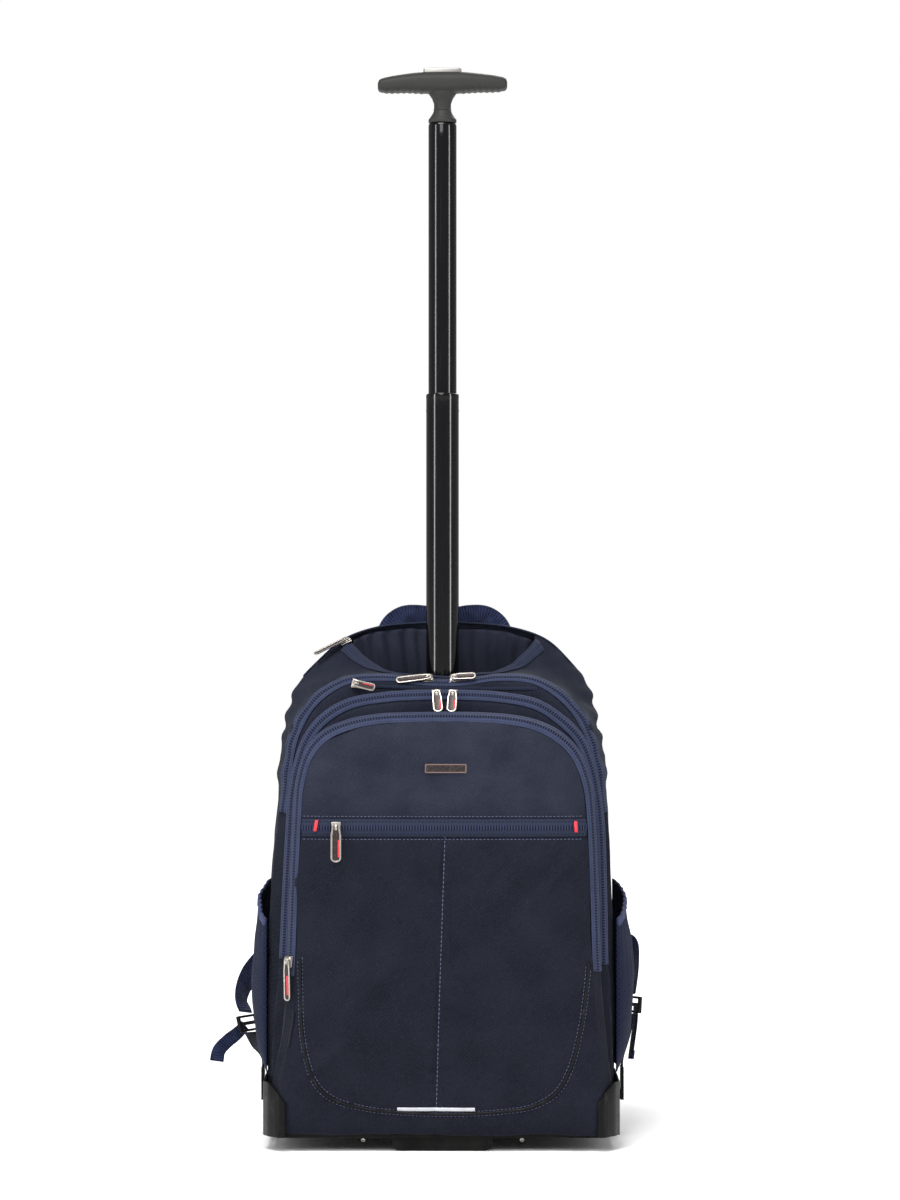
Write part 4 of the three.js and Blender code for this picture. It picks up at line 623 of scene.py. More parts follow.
def pocketRelief(co):
    x, y, z = co
    rise = 0.0
    onFace = min(max((-y - 18) / 8, 0), 1)
    for fx, fz, run, length, breadth, height in frontPanel["folds"]:
        dx, dz = x - fx * half, z - bag["floor"] - fz * bag["height"]
        c, s = math.cos(math.radians(run)), math.sin(math.radians(run))
        rise += height * bell(dx * c + dz * s, length * half) * bell(
            dz * c - dx * s, breadth * half
        ) * onFace
    rise += 2.2 * crumple(x, y, z, 62, 3.1) + 1.3 * crumple(x * 1.4, y, z * 0.8, 27, 7.7)
    slanted = crumple(x * 0.8 + z * 0.6, y, (z - x * 0.7) * 0.25, 15, 1.3)
    lowerLeft = bell(x + 95, 60) * bell(z - 90, 75) + 0.8 * bell(x - 100, 50) * bell(z - 250, 60)
    rise += (0.35 + 1.8 * lowerLeft) * slanted * onFace
    if z < 293:
        seamX = curvePoint(frontPanel["seam"], min(max((292 - z) / 252, 0), 1)).x
        away = x - seamX
        rise -= 1.5 * bell(away, 1.6) * onFace
        rise += 0.55 * math.sin(z * 0.55 + 2 * math.sin(z * 0.11)) * math.exp(-abs(away) / 8) * onFace
        near = float(np.min(np.hypot(pipingFlat[:, 0] - x, pipingFlat[:, 1] - z)))
        rise -= 1.0 * bell(near, 2.2) * onFace
        rise += 0.5 * math.sin((x - z) * 0.42) * math.exp(-near / 7) * onFace
    for edge, sign in ((frontPanel["zipZ"] - 8.5, -1), (frontPanel["zipZ"] + 8.5, 1)):
        away = (z - edge) * sign
        rise -= 0.9 * bell(away, 1.8) * onFace
        if away > 0:
            rise += 0.6 * math.sin(x * 0.36 + 1.7 * math.sin(x * 0.07)) * math.exp(-away / 9) * onFace
    return rise


# Rings along a layer's side. Each corner is a depth, an inset and the number of rings up to the next corner.
def ringsThrough(corners):
    rings = []
    for (y, inset, count), (nextY, nextInset, _) in zip(corners, corners[1:]):
        rings += [
            (y + (nextY - y) * i / count, inset + (nextInset - inset) * i / count) for i in range(count)
        ]
    return rings


facePath = [Vector(p + (0,)) for p in ((-24, 9.1), (-28, 24.75), (-30.5, 52.8), (-32, 95.7), (-33, 156))]
face = [curvePoint(facePath, i / 84) for i in range(85)]
pocketStations = ringsThrough([(10, 0, 9), (-12, 0, 6), (-20.4, 6.3, 3), (-24, 9.1, 0)])
pocketStations += [(p.x, p.y) for p in face]
pocket = layerOfCloth(
    "front_pocket_cloth", pocketRing, pocketStations, pocketPoint, pocketRelief, "twill", ["front_pocket"]
)
thicken(pocket, 1.6)
pocketTree = treeOf(pocket)
print("front pocket sewn")


# Middle compartment

def middleRelief(co):
    x, y, z = co
    side = 1.0 * crumple(x, y, z * 1.5, 22, 4.2) + 0.7 * crumple(x, y, z, 9, 2.4)
    return side * min(max((y - 12) / 6, 0), 1)


middleStations = ringsThrough([(45, 0, 8), (20, 0, 5), (12.7, 9.6, 2), (10.6, 13.2, 4), (10.6, 60, 0)])
middleStations += [(10.6, 60)]
middle = layerOfCloth(
    "middle_cloth", middleRing, middleStations, middlePoint, middleRelief, "sideTwill",
    ["middle_compartment"]
)
thicken(middle, 1.6)
print("middle compartment sewn")


# Main compartment, with its mouth cut out round the pole

def mainRelief(co):
    x, y, z = co
    high = min(max((z - 300) / 80, 0), 1)
    rise = 1.1 * crumple(x, y, z, 42, 5.5) + (0.5 + 1.0 * high) * crumple(x, y * 0.6, z * 1.3, 17, 9.1)
    onSide = min(max((abs(x) - 120) / 25, 0), 1)
    rise += 0.9 * onSide * high * math.sin(z * 0.33 + 1.5 * math.sin(y * 0.09))
    return rise * min(max((y - 47) / 6, 0), 1) * min(max((164.9 - y) / 4, 0.15), 1)


mainStations = ringsThrough([
    (165, 120, 5), (165, 49.5, 8), (165, 7.4, 3), (160.8, 0, 32), (56.7, 0, 5), (47.9, 9, 2), (45.6, 12.4, 4),
    (45.6, 60, 0),
])
mainStations += [(45.6, 60)]


def lipY(x):
    return bag["mouthFront"] + (151 - bag["mouthFront"]) * (abs(x) / bag["mouthHalf"]) ** 2.6


def cutterPrism(points, low, high):
    bm = bmesh.new()
    base = bm.faces.new([bm.verts.new((x, y, low)) for x, y in points])
    made = bmesh.ops.extrude_face_region(bm, geom=[base])["geom"]
    bmesh.ops.translate(
        bm, verts=[v for v in made if isinstance(v, bmesh.types.BMVert)], vec=(0, 0, high - low)
    )
    bmesh.ops.recalc_face_normals(bm, faces=bm.faces)
    bmesh.ops.scale(bm, verts=bm.verts, vec=(mm, mm, mm))
    mesh = bpy.data.meshes.new("cutter")
    bm.to_mesh(mesh)
    bm.free()
    cutter = bpy.data.objects.new("cutter", mesh)
    scene.collection.objects.link(cutter)
    return cutter


# Cuts shapes out of a piece, and leaves no modifier and no cutter behind
def cutOut(piece, cutters):
    for cutter in cutters:
        made = piece.modifiers.new("cut", "BOOLEAN")
        made.operation = "DIFFERENCE"
        made.solver = "EXACT"
        made.object = cutter
    bpy.context.view_layer.update()
    evaluated = piece.evaluated_get(bpy.context.evaluated_depsgraph_get())
    mesh = bpy.data.meshes.new_from_object(evaluated)
    piece.modifiers.clear()
    old, piece.data = piece.data, mesh
    mesh.name = piece.name
    bpy.data.meshes.remove(old)
    for cutter in cutters:
        bpy.data.objects.remove(cutter)
    mesh.polygons.foreach_set("use_smooth", [True] * len(mesh.polygons))


mainCloth = layerOfCloth(
    "main_cloth", range(308), mainStations, mainPoint, mainRelief, "sideTwill", ["main_compartment"]
)
thicken(mainCloth, 1.8)
mouthPlan = [(bag["mouthHalf"], bag["mouthBack"]), (-bag["mouthHalf"], bag["mouthBack"])]
mouthPlan += [(x, lipY(x)) for x in [bag["mouthHalf"] * (i / 22 * 2 - 1) for i in range(23)]]
wells = [[(s * 115.5, 112), (s * 400, 112), (s * 400, 400), (s * 115.5, 400)] for s in (-1, 1)]
cutOut(
    mainCloth,
    [cutterPrism(mouthPlan, 400, 600)] + [
        cutterPrism(w[::-1] if w[0][0] < 0 else w, -50, 64.5) for w in wells
    ]
)
mainTree = treeOf(mainCloth)
print("main compartment sewn")


# Rear panel inside the mouth: gathered cloth between the lip and the panel's bound top edge

def gatheredPanel():
    settings = {"low": 380, "pitch": 13.5, "deep": 1.9, "columns": 150, "rows": 26}
    rows = []
    for r in range(settings["rows"] + 1):
        row = []
        for c in range(settings["columns"] + 1):
            x = -86 + 172 * c / settings["columns"]
            top = castOn(mainTree, (x, 162.3, 900), (0, 0, -1))
            crown = (top.z if top else 480) - 2.2
            share = r / settings["rows"]
            z = settings["low"] + (crown - settings["low"]) * share
            phase = x / settings["pitch"] * 2 * math.pi + 1.6 * math.sin(x * 0.06)
            phase += 0.9 * math.sin(z * 0.07 + x * 0.02)
            deep = settings["deep"] * (0.55 + 0.45 * share) * (0.75 + 0.5 * crumple(x, 0, z, 30, 6.6))
            row.append(Vector((x, 157.2 + deep * math.sin(phase), z)))
        rows.append(row)
    bm = bmesh.new()
    extrudeRows(bm, rows)
    panel = finishPiece(bm, "gathered_panel", "twill", outward=False)
    thicken(panel, 0.9, 0.0)


gatheredPanel()


# Zip tapes along the front edges of the layers: a band with a raised coil in its middle

tapeSection = [
    (-1, 0.55), (-0.8, 0.95), (-0.36, 0.95), (-0.28, 1.5), (0, 1.9), (0.28, 1.5), (0.36, 0.95), (0.8, 0.95),
    (1, 0.55)
]


def edgeTape(name, points, pointAt, fromStation, toStation, first, last, replaced, wave=0.0):
    run = Vector((toStation[0] - fromStation[0], toStation[1] - fromStation[1])).normalized()
    rows = []
    for k in range(first, last + 1):
        point = points[k % len(points)]
        row = []
        for u, lift in tapeSection:
            share = (u + 1) / 2
            lift += wave * math.sin(k * 0.21) * math.sin(k * 0.047)
            y = fromStation[0] + (toStation[0] - fromStation[0]) * share - abs(run.y) * lift
            inset = fromStation[1] + (toStation[1] - fromStation[1]) * share - abs(run.x) * lift
            row.append(pointAt(point, y, inset))
        rows.append(row)
    bm = bmesh.new()
    extrudeRows(bm, rows, acrossOf=[u for u, lift in tapeSection])
    bm.normal_update()
    tape = finishPiece(bm, name, "tape", "root", replaced, True, False)
    thicken(tape, 0.8, 0.0)
    return tape


# First and last point of a ring, up its right side and down its left, between two heights
def stretchOf(ring, lowRight, lowLeft):
    top = max(range(len(ring)), key=lambda i: ring[i].z)
    first = min(
        (i for i in range(top)), key=lambda i: abs(ring[i].z - lowRight) + (1e6 if ring[i].x < 0 else 0)
    )
    last = min(
        (i for i in range(top, len(ring))),
        key=lambda i: abs(ring[i].z - lowLeft) + (1e6 if ring[i].x > 0 else 0)
    )
    return first, last


first, last = stretchOf(pocketRing, 167, 163)
edgeTape(
    "front_pocket_tape", pocketRing, pocketPoint, (-12.5, 0), (-23.4, 8.6), first, last, ["front_zip_tape"]
)
first, last = stretchOf(middleRing, 168, 176)
edgeTape("middle_tape", middleRing, middlePoint, (19.5, 0.4), (12.6, 9.4), first, last, ["middle_zip_tape"])
first, last = stretchOf(mainFrontRing, 312, 312)
mainTape = edgeTape(
    "main_tape", list(range(308)), mainPoint, (56.2, 0.5), (48.2, 8.6), first, last, ["main_zip_tape"], 0.5
)
tapeTrees = {
    "front": treeOf(bpy.data.objects["front_pocket_tape"]),
    "middle": treeOf(bpy.data.objects["middle_tape"]),
    "main": treeOf(mainTape),
}


def mouthTape():
    settings = {"near": 0.6, "far": 10.4, "steps": 110, "lift": 0.5}
    rows = []
    known = 440.0
    for k in range(settings["steps"] + 1):
        x = bag["mouthHalf"] * (2 * k / settings["steps"] - 1)
        slope = (lipY(x + 0.05) - lipY(x - 0.05)) / 0.1
        outward = Vector((slope, -1, 0)).normalized()
        row = []
        for u, lift in tapeSection:
            away = settings["near"] + (settings["far"] - settings["near"]) * (u + 1) / 2
            p = Vector((x, lipY(x), 0)) + outward * away
            top = castOn(mainTree, (p.x, p.y, 900), (0, 0, -1))
            known = top.z if top and top.z > 396 else known
            row.append(Vector((p.x, p.y, known + settings["lift"] + lift)))
        rows.append(row)
    bm = bmesh.new()
    extrudeRows(bm, rows, acrossOf=[u for u, lift in tapeSection])
    tape = finishPiece(bm, "mouth_tape", "longTape", "root", ["mouth_zip_tape"], True, False)
    thicken(tape, 0.8, 0.0)


def rearBinding():
    stations = [(165.6, 9.6), (166.1, 7.4), (164.6, 3.4), (161.2, -0.9), (157.4, -1.0), (154.6, -0.6)]
    rows = []
    for k in range(308):
        if mainRearRing[k].z >= 436:
            rows.append([mainPoint(k, y, inset) for y, inset in stations])
    bm = bmesh.new()
    extrudeRows(bm, rows)
    tape = finishPiece(
        bm, "rear_binding", "darkBinding", "root", ["rear_panel_binding"], True, False
    )
    thicken(tape, 0.8, 0.0)


def smallPocketZip():
    flat = [
        (-76 + 165 * i / 70, 430.6 - 2.6 * i / 70 - 1.2 * math.sin(math.pi * i / 70)) for i in range(71)
    ]
    line = facePoints(mainTree, flat, 0.2)
    bm = bmesh.new()
    sweepLoop(bm, line, [front] * 71, flatSection(3.2, 1.2, 14))
    finishPiece(bm, "small_zip", "longTape")


mouthTape()
rearBinding()
smallPocketZip()


def longZip():
    rows = []
    for k in range(133):
        x = frontPanel["zipFrom"] + (frontPanel["zipTo"] - frontPanel["zipFrom"]) * k / 132
        row = []
        for u, lift in tapeSection:
            z = frontPanel["zipZ"] + u * frontPanel["zipBand"] / 2
            row.append(Vector((x, faceY(pocketTree, x, z) - 0.4 - lift * 0.8, z)))
        rows.append(row)
    bm = bmesh.new()
    extrudeRows(bm, rows, acrossOf=[u for u, lift in tapeSection])
    tape = finishPiece(
        bm, "long_zip", "longTape", "root", ["front_pocket_zip_tape"], True, False
    )
    thicken(tape, 0.7, 0.0)
    return tape


tapeTrees["long"] = treeOf(longZip())
print("tapes sewn")


def frontDetails():
    line = facePoints(pocketTree, [(p.x, p.z) for p in pipingLine], 0.7)
    bm = bmesh.new()
    sweepLoop(bm, line, [front] * len(line), roundSection(1.5))
    finishPiece(bm, "piping_cord", "piping", "root", ["panel_piping"])
    seam = [curvePoint(frontPanel["seam"], i / 60) for i in range(61)]
    bm = bmesh.new()
    stitches(bm, facePoints(pocketTree, [(p.x + 1.3, p.z) for p in seam], 0.05), [front] * 61)
    for offset in (-2.6, 2.6):
        inner = [(p.x * (1 - offset / half), p.z + offset * 0.8) for p in pipingLine[::2]]
        stitches(bm, facePoints(pocketTree, inner, 0.05), [front] * len(inner), 2.2, 3.6, 0.24)
    for z in (frontPanel["zipZ"] - 10.6, frontPanel["zipZ"] + 10.6):
        row = [(-128 + 258 * i / 90, z) for i in range(91)]
        stitches(bm, facePoints(pocketTree, row, 0.05), [front] * 91, 2.2, 3.6, 0.24)
    finishPiece(bm, "panel_stitches", "thread")
    bm = bmesh.new()
    rows = []
    for i in range(41):
        x = -42 + 72 * i / 40
        rows.append(
            [
                Vector(
                    (x, faceY(pocketTree, x, 40.1 + dz) - 0.5, 40.1 + dz)
                ) for dz in (-1.6, -0.8, 0, 0.8, 1.6)
            ]
        )
    extrudeRows(bm, rows)
    strip = finishPiece(
        bm, "reflective_band", "reflective", "root", ["reflective_strip"], True, False
    )
    thicken(strip, 0.5, 0.0)
    for side, x, z, lean in ((-1, -117.2, 302.6, 0.16), (1, 123.4, 301.6, -0.04)):
        bm = bmesh.new()
        rows = []
        for i in range(13):
            t = i / 12 - 0.5
            bulge = 1.7 - 3.4 * t * t
            middleX = x + lean * t * 10
            y = faceY(tapeTrees["long"], x, z + t * 8) - bulge
            rows.append(
                [
                    Vector(
                        (middleX + u * 1.4, y - 0.25 * (1 - u * u), z + t * 10)
                    ) for u in (-1, -0.5, 0, 0.5, 1)
                ]
            )
        extrudeRows(bm, rows)
        name = "left" if side < 0 else "right"
        tab = finishPiece(
            bm, "red_tab_" + name, "red", "root", ["zip_end_tab_" + name], True, False
        )
        thicken(tab, 0.8, 0.0)
    plate = {"at": (3.0, 355.6), "size": (38.4, 8.3), "thick": 1.6, "rim": 0.9}
    x, z = plate["at"]
    bm = bmesh.new()
    bmesh.ops.create_cube(bm, size=1)
    bmesh.ops.scale(bm, verts=bm.verts, vec=(plate["size"][0], plate["thick"], plate["size"][1]))
    upright = [e for e in bm.edges if abs(e.verts[0].co.y - e.verts[1].co.y) > 1]
    bmesh.ops.bevel(bm, geom=upright, affect="EDGES", offset=1.1, segments=4, profile=0.5, material=-1)
    bm.faces.ensure_lookup_table()
    frontFace = min(bm.faces, key=lambda f: f.calc_center_median().y)
    bmesh.ops.inset_individual(bm, faces=[frontFace], thickness=plate["rim"], depth=0)
    bmesh.ops.inset_individual(bm, faces=[frontFace], thickness=0.15, depth=-0.4)
    frontFace.material_index = 1
    bmesh.ops.translate(bm, verts=bm.verts, vec=(x, faceY(pocketTree, x, z) - 0.75, z))
    made = finishPiece(bm, "bare_plate", "rose", "root", ["name_plate"], False)
    made.data.materials.append(looks["plateFace"])
    roundEdges(made, 0.18)


frontDetails()
print("front panel dressed")


# Zip sliders: body with a bridge, and a pull tab with an inset and sometimes a red accent

def beveledBox(bm, size, at, width, segments=3):
    verts = bmesh.ops.create_cube(bm, size=1)["verts"]
    bmesh.ops.scale(bm, verts=verts, vec=size)
    bmesh.ops.translate(bm, verts=verts, vec=at)
    edges = list({e for v in verts for e in v.link_edges})
    made = bmesh.ops.bevel(
        bm, geom=edges, affect="EDGES", offset=width, segments=segments, profile=0.5, material=-1
    )
    return list({v for f in made["faces"] for v in f.verts} | {v for v in verts if v.is_valid})


def zipSlider(name, replaced, seat, along, outward, length, breadth, lift, accent="none"):
    z = -Vector(along).normalized()
    y = -Vector(outward).normalized()
    y = (y - z * y.dot(z)).normalized()
    x = y.cross(z)
    seat = Vector(seat) + Vector(outward).normalized() * lift
    turn = Matrix((x, y, z)).transposed().to_4x4()
    turn.translation = seat
    bm = bmesh.new()
    body = beveledBox(bm, (8.4, 1.3, 10.5), (0, -0.9, 0), 0.5)
    body += beveledBox(bm, (7.4, 1.1, 9.6), (0, -2.7, 0), 0.45)
    body += beveledBox(bm, (2.2, 1.6, 3.4), (0, -1.8, 3.2), 0.3)
    for v in body:
        v.co.x *= 1.0 - 0.28 * min(max((1.5 - v.co.z) / 6.5, 0), 1) + 0.06 * min(max(v.co.z / 5, 0), 1)
    bridge = [
        Vector((0, -3.0 - 2.4 * math.sin(math.pi * t), 3.8 - 7.0 * t)) for t in [i / 10 for i in range(11)]
    ]
    sweepLoop(bm, bridge, [front + Vector((0, 0, 0.01))] * 11, flatSection(2.4, 1.1, 12, 0.6))
    thick = 1.3
    outline = []
    corner = breadth * 0.42
    narrow = breadth * 0.36
    for i in range(9):
        a = math.pi * i / 8
        outline.append((narrow * math.cos(a), 2.2 + narrow * 0.5 * math.sin(a)))
    outline.append((-breadth / 2, -length * 0.22))
    for i in range(11):
        a = math.pi + math.pi * i / 10
        outline.append((breadth / 2 * math.cos(a), -length + corner + corner * math.sin(a)))
    outline.append((breadth / 2, -length * 0.22))
    face = bm.faces.new([bm.verts.new((u, -4.4 - thick / 2, w)) for u, w in outline])
    made = bmesh.ops.extrude_face_region(bm, geom=[face])["geom"]
    back = [v for v in made if isinstance(v, bmesh.types.BMVert)]
    bmesh.ops.translate(bm, verts=back, vec=(0, thick, 0))
    bm.normal_update()
    if face.normal.y > 0:
        face.normal_flip()
    rim = min(1.3, breadth * 0.16)
    bmesh.ops.inset_individual(bm, faces=[face], thickness=rim, depth=0)
    bmesh.ops.inset_individual(bm, faces=[face], thickness=0.15, depth=-0.35)
    face.material_index = 1
    if accent != "none":
        halfWide = breadth / 2 - rim - 0.3
        wide = halfWide if accent == "half" else halfWide * 0.42
        at = (halfWide - wide / 2, -4.4 - thick / 2 + 0.1, -length * 0.6)
        before = set(bm.faces)
        beveledBox(bm, (wide, 0.5, length * 0.5), at, 0.15, 2)
        for f in set(bm.faces) - before:
            f.material_index = 2
    bmesh.ops.recalc_face_normals(bm, faces=bm.faces)
    bmesh.ops.transform(bm, matrix=turn, verts=bm.verts)
    made = finishPiece(bm, name, "nickel", "root", [replaced], True, False)
    made.data.materials.append(looks["plateFace"])
    made.data.materials.append(looks["red"])
    roundEdges(made, 0.2, 2, 50)


def onTape(key, x, z):
    y = faceY(tapeTrees[key], x, z)
    return (x, y if y is not None else -20, z)


topLeft = castOn(mainTree, (-92, 149, 900), (0, 0, -1))
zipSlider(
    "long_zip_slider", "front_zip_slider", onTape("long", -98.5, 301), (0, 0, -1), (0, -1, 0), 32, 9.6, 0.3,
    "line"
)
zipSlider(
    "side_slider", "side_zip_slider", onTape("front", -141, 176), (0.02, 0, -1), (-0.8, -1, 0), 36, 7, 1.2,
    "half"
)
for side, x, along in ((-1, -5.5, (0.1, -0.6, -1)), (1, 9.5, (-0.08, -0.6, -1))):
    name = "middle_zip_slider_" + ("left" if side < 0 else "right")
    zipSlider("double_" + name, name, onTape("middle", x, 421.5), along, (0, -1, 0.6), 20, 9, 0.9, "line")
zipSlider(
    "main_slider_left", "main_zip_slider_left", onTape("main", -14, 436), (-1, -0.1, -0.12), (0, -1, 0.9),
    30, 7.5, 0.6
)
zipSlider(
    "main_slider_right", "main_zip_slider_right", onTape("main", 12, 436), (1, -0.1, 0.05), (0, -1, 0.9),
    20, 7.5, 0.6
)
zipSlider("mouth_slider", "mouth_zip_slider", topLeft, (-1, -0.12, -0.5), (-0.45, -0.35, 1), 33, 8, 1.5)
smallSeat = (-80, 44.7, 432.2)
zipSlider(
    "small_pocket_slider", "small_pocket_zip_slider", smallSeat, (0.85, -0.25, -0.2), (0, -1, 0.1), 19, 7,
    0.0, "line"
)
print("sliders fitted")


# Side pockets of stretch mesh, with an elastic binding round the mouth

sidePocket = {
    "levels": [
        (0, 0.1), (0.06, 0.42), (0.2, 0.78), (0.38, 0.97), (0.55, 1), (0.72, 0.9), (0.88, 0.66), (1, 0.5)
    ],
    "front": 52.3, "rear": 152.5, "floor": 66.5, "mouthFront": 210.8, "mouthRear": 242.8,
    -1: {"edge": 165.0, "most": 15.0}, 1: {"edge": 163.02, "most": 18.0},
}


def sidePocketPoint(side, u, h, bulge, out):
    row = sidePocket[side]
    mouth = sidePocket["mouthFront"] + (sidePocket["mouthRear"] - sidePocket["mouthFront"]) * u
    y = sidePocket["front"] + (sidePocket["rear"] - sidePocket["front"]) * u
    z = sidePocket["floor"] + h * (mouth - sidePocket["floor"])
    swell = math.sin(math.pi * u) ** 0.7 if 0 < u < 1 else 0.0
    gather = 0.8 * math.sin(u * 2 * math.pi * 9 + 2 * side) * h ** 3 * swell
    dents = 1.6 * crumple(y, z, side * 30, 26, 2.2) * swell
    x = row["edge"] + 0.9 + bulge * row["most"] * swell + out + gather + dents
    return Vector((side * x, y, z))


def sidePockets():
    shape = [Vector((h, b, 0)) for h, b in sidePocket["levels"]]
    for side, name in ((-1, "left"), (1, "right")):
        bm = bmesh.new()
        rows = []
        for k in range(37):
            p = curvePoint(shape, k / 36)
            rows.append([sidePocketPoint(side, c / 44, min(p.x, 1), p.y, 0.0) for c in range(45)])
        extrudeRows(bm, rows)
        cloth = finishPiece(
            bm, "side_mesh_" + name, "mesh", "root", ["side_pocket_" + name], True, False
        )
        thicken(cloth, 0.9, 0.0)
        line, outs = [], []
        for c in range(61):
            line.append(sidePocketPoint(side, c / 60, 0.975, 0.52, 1.0))
            outs.append(Vector((side, 0, 0.1)))
        bm = bmesh.new()
        sweepLoop(bm, line, outs, flatSection(8.2, 2.2, 18))
        finishPiece(
            bm, "mouth_binding_" + name, "binding", "root", ["side_pocket_binding_" + name]
        )


sidePockets()
print("side pockets sewn")


# Back padding and shoulder straps: foam under spacer mesh, with sewn channels and a bound edge

# Swells a padded piece as cloth over its filling, and caps how far any point of it moves
def puffed(piece, voxel, most):
    rest = piece.data
    remesh = piece.modifiers.new("even", "REMESH")
    remesh.mode = "VOXEL"
    remesh.voxel_size = voxel * mm
    bpy.context.view_layer.update()
    even = bpy.data.meshes.new_from_object(piece.evaluated_get(bpy.context.evaluated_depsgraph_get()))
    piece.modifiers.clear()
    piece.data = even
    start = [v.co.copy() for v in even.vertices]
    cloth = piece.modifiers.new("swell", "CLOTH")
    cloth.settings.use_pressure = True
    cloth.settings.uniform_pressure_force = 4
    cloth.settings.effector_weights.gravity = 0
    cloth.point_cache.frame_start = 1
    cloth.point_cache.frame_end = 12
    for frameNumber in range(1, 13):
        scene.frame_set(frameNumber)
    swollen = bpy.data.meshes.new_from_object(piece.evaluated_get(bpy.context.evaluated_depsgraph_get()))
    piece.modifiers.clear()
    piece.data = swollen
    for vertex, old in zip(swollen.vertices, start):
        move = vertex.co - old
        if move.length > most * mm:
            vertex.co = old + move.normalized() * most * mm
    swollen.name = piece.name
    swollen.polygons.foreach_set("use_smooth", [True] * len(swollen.polygons))
    scene.frame_set(1)
    bpy.data.meshes.remove(rest)
    bpy.data.meshes.remove(even)


# Presses sewn lines into a finished piece: rise gives each point's move along its normal, in millimetres
def pressed(piece, rise):
    bm = bmesh.new()
    bm.from_mesh(piece.data)
    bmesh.ops.subdivide_edges(bm, edges=bm.edges, cuts=1, use_grid_fill=True, smooth=0.4)
    bm.normal_update()
    moves = [(v, v.normal * rise(v.co / mm) * mm) for v in bm.verts]
    for v, move in moves:
        v.co += move
    bm.to_mesh(piece.data)
    bm.free()
    piece.data.polygons.foreach_set("use_smooth", [True] * len(piece.data.polygons))


padding = {
    "front": 165.3, "thick": 12.5, "low": 78.0, "high": 424.0, "half": 128.0, "corner": 34.0,
    "stations": [
        (0, 3), (0.25, 0.6), (0.7, 2), (0.92, 9), (0.98, 22)
    ], "channels": [128, 186, 244, 302, 360],
}


def roundedPlan(halfWide, low, high, corner, count):
    points = []
    middles = [(halfWide - corner, high - corner), (-halfWide + corner, high - corner),
               (-halfWide + corner, low + corner), (halfWide - corner, low + corner)]
    for q, (cx, cz) in enumerate(middles):
        for i in range(9):
            a = math.pi / 2 * (q + i / 8)
            points.append(Vector((cx + corner * math.cos(a), 0, cz + corner * math.sin(a))))
    dense = []
    lengths = [0.0]
    closedRing = points + points[:1]
    for a, b in zip(closedRing, closedRing[1:]):
        lengths.append(lengths[-1] + (b - a).length)
    for i in range(count):
        want = lengths[-1] * i / count
        k = max(j for j in range(len(lengths) - 1) if lengths[j] <= want + 1e-9)
        share = (want - lengths[k]) / max(lengths[k + 1] - lengths[k], 1e-9)
        dense.append(closedRing[k].lerp(closedRing[k + 1], share))
    return dense


def backPadding():
    plan = roundedPlan(padding["half"], padding["low"], padding["high"], padding["corner"], 168)
    middleZ = (padding["low"] + padding["high"]) / 2
    halfHigh = (padding["high"] - padding["low"]) / 2

    def point(p, depth, inset):
        y = padding["front"] + depth * padding["thick"]
        return Vector(
            (p.x * (1 - inset / padding["half"]), y, middleZ + (p.z - middleZ) * (1 - inset / halfHigh))
        )

    stations = list(padding["stations"])
    stations = [(0, 110), (0, 60)] + stations + [(0.98, 22 + i * 8) for i in range(1, 12)]
    bm = bmesh.new()
    extrudeRows(
        bm, [[point(p, depth, inset) for p in plan] for depth, inset in stations], closed=True, caps=True
    )
    pad = finishPiece(bm, "back_pad", "padMesh", "root", ["back_padding"])
    puffed(pad, 6, 5)

    def rise(co):
        onFace = min(max((co.y - 173) / 3, 0), 1)
        lines = sum(bell(co.z - z - 6 * abs(co.x) / 128, 3.6) for z in padding["channels"])
        lines = min(lines + 1.2 * bell(co.x, 7), 1.4)
        return (-2.6 * lines + 0.5 * crumple(co.x, co.y, co.z, 18, 3.3) - 0.6) * onFace

    pressed(pad, rise)
    line = [point(p, 0.1, -1.0) for p in plan]
    line.append(line[0] + (line[-1] - line[0]) * 0.02)
    bm = bmesh.new()
    outs = [Vector((0, 1, 0))] * len(line)
    sweepLoop(bm, line, outs, roundSection(1.8, 8))
    finishPiece(bm, "pad_piping", "darkBinding")


backPadding()

strapRoute = [
    (0.3, 0.935, -0.08, 0.86), (0.31, 0.905, 0.6, 0.95), (0.335, 0.87, 1.1, 1), (0.42, 0.76, 1.05, 1),
    (0.54, 0.64, 1.05, 0.98), (0.68, 0.52, 1.05, 0.9), (0.82, 0.42, 1.05, 0.76), (0.9, 0.365, 1.05, 0.64),
]


def strapSection():
    section = []
    for i in range(28):
        a = 2 * math.pi * (i + 0.5) / 28
        u = math.cos(a) * 29
        high = 5.6 * max(1 - (abs(u) / 26) ** 3, 0) ** 0.6 if abs(u) < 26 else 0.0
        section.append((u, math.copysign(max(high, 1.1), math.sin(a))))
    return section


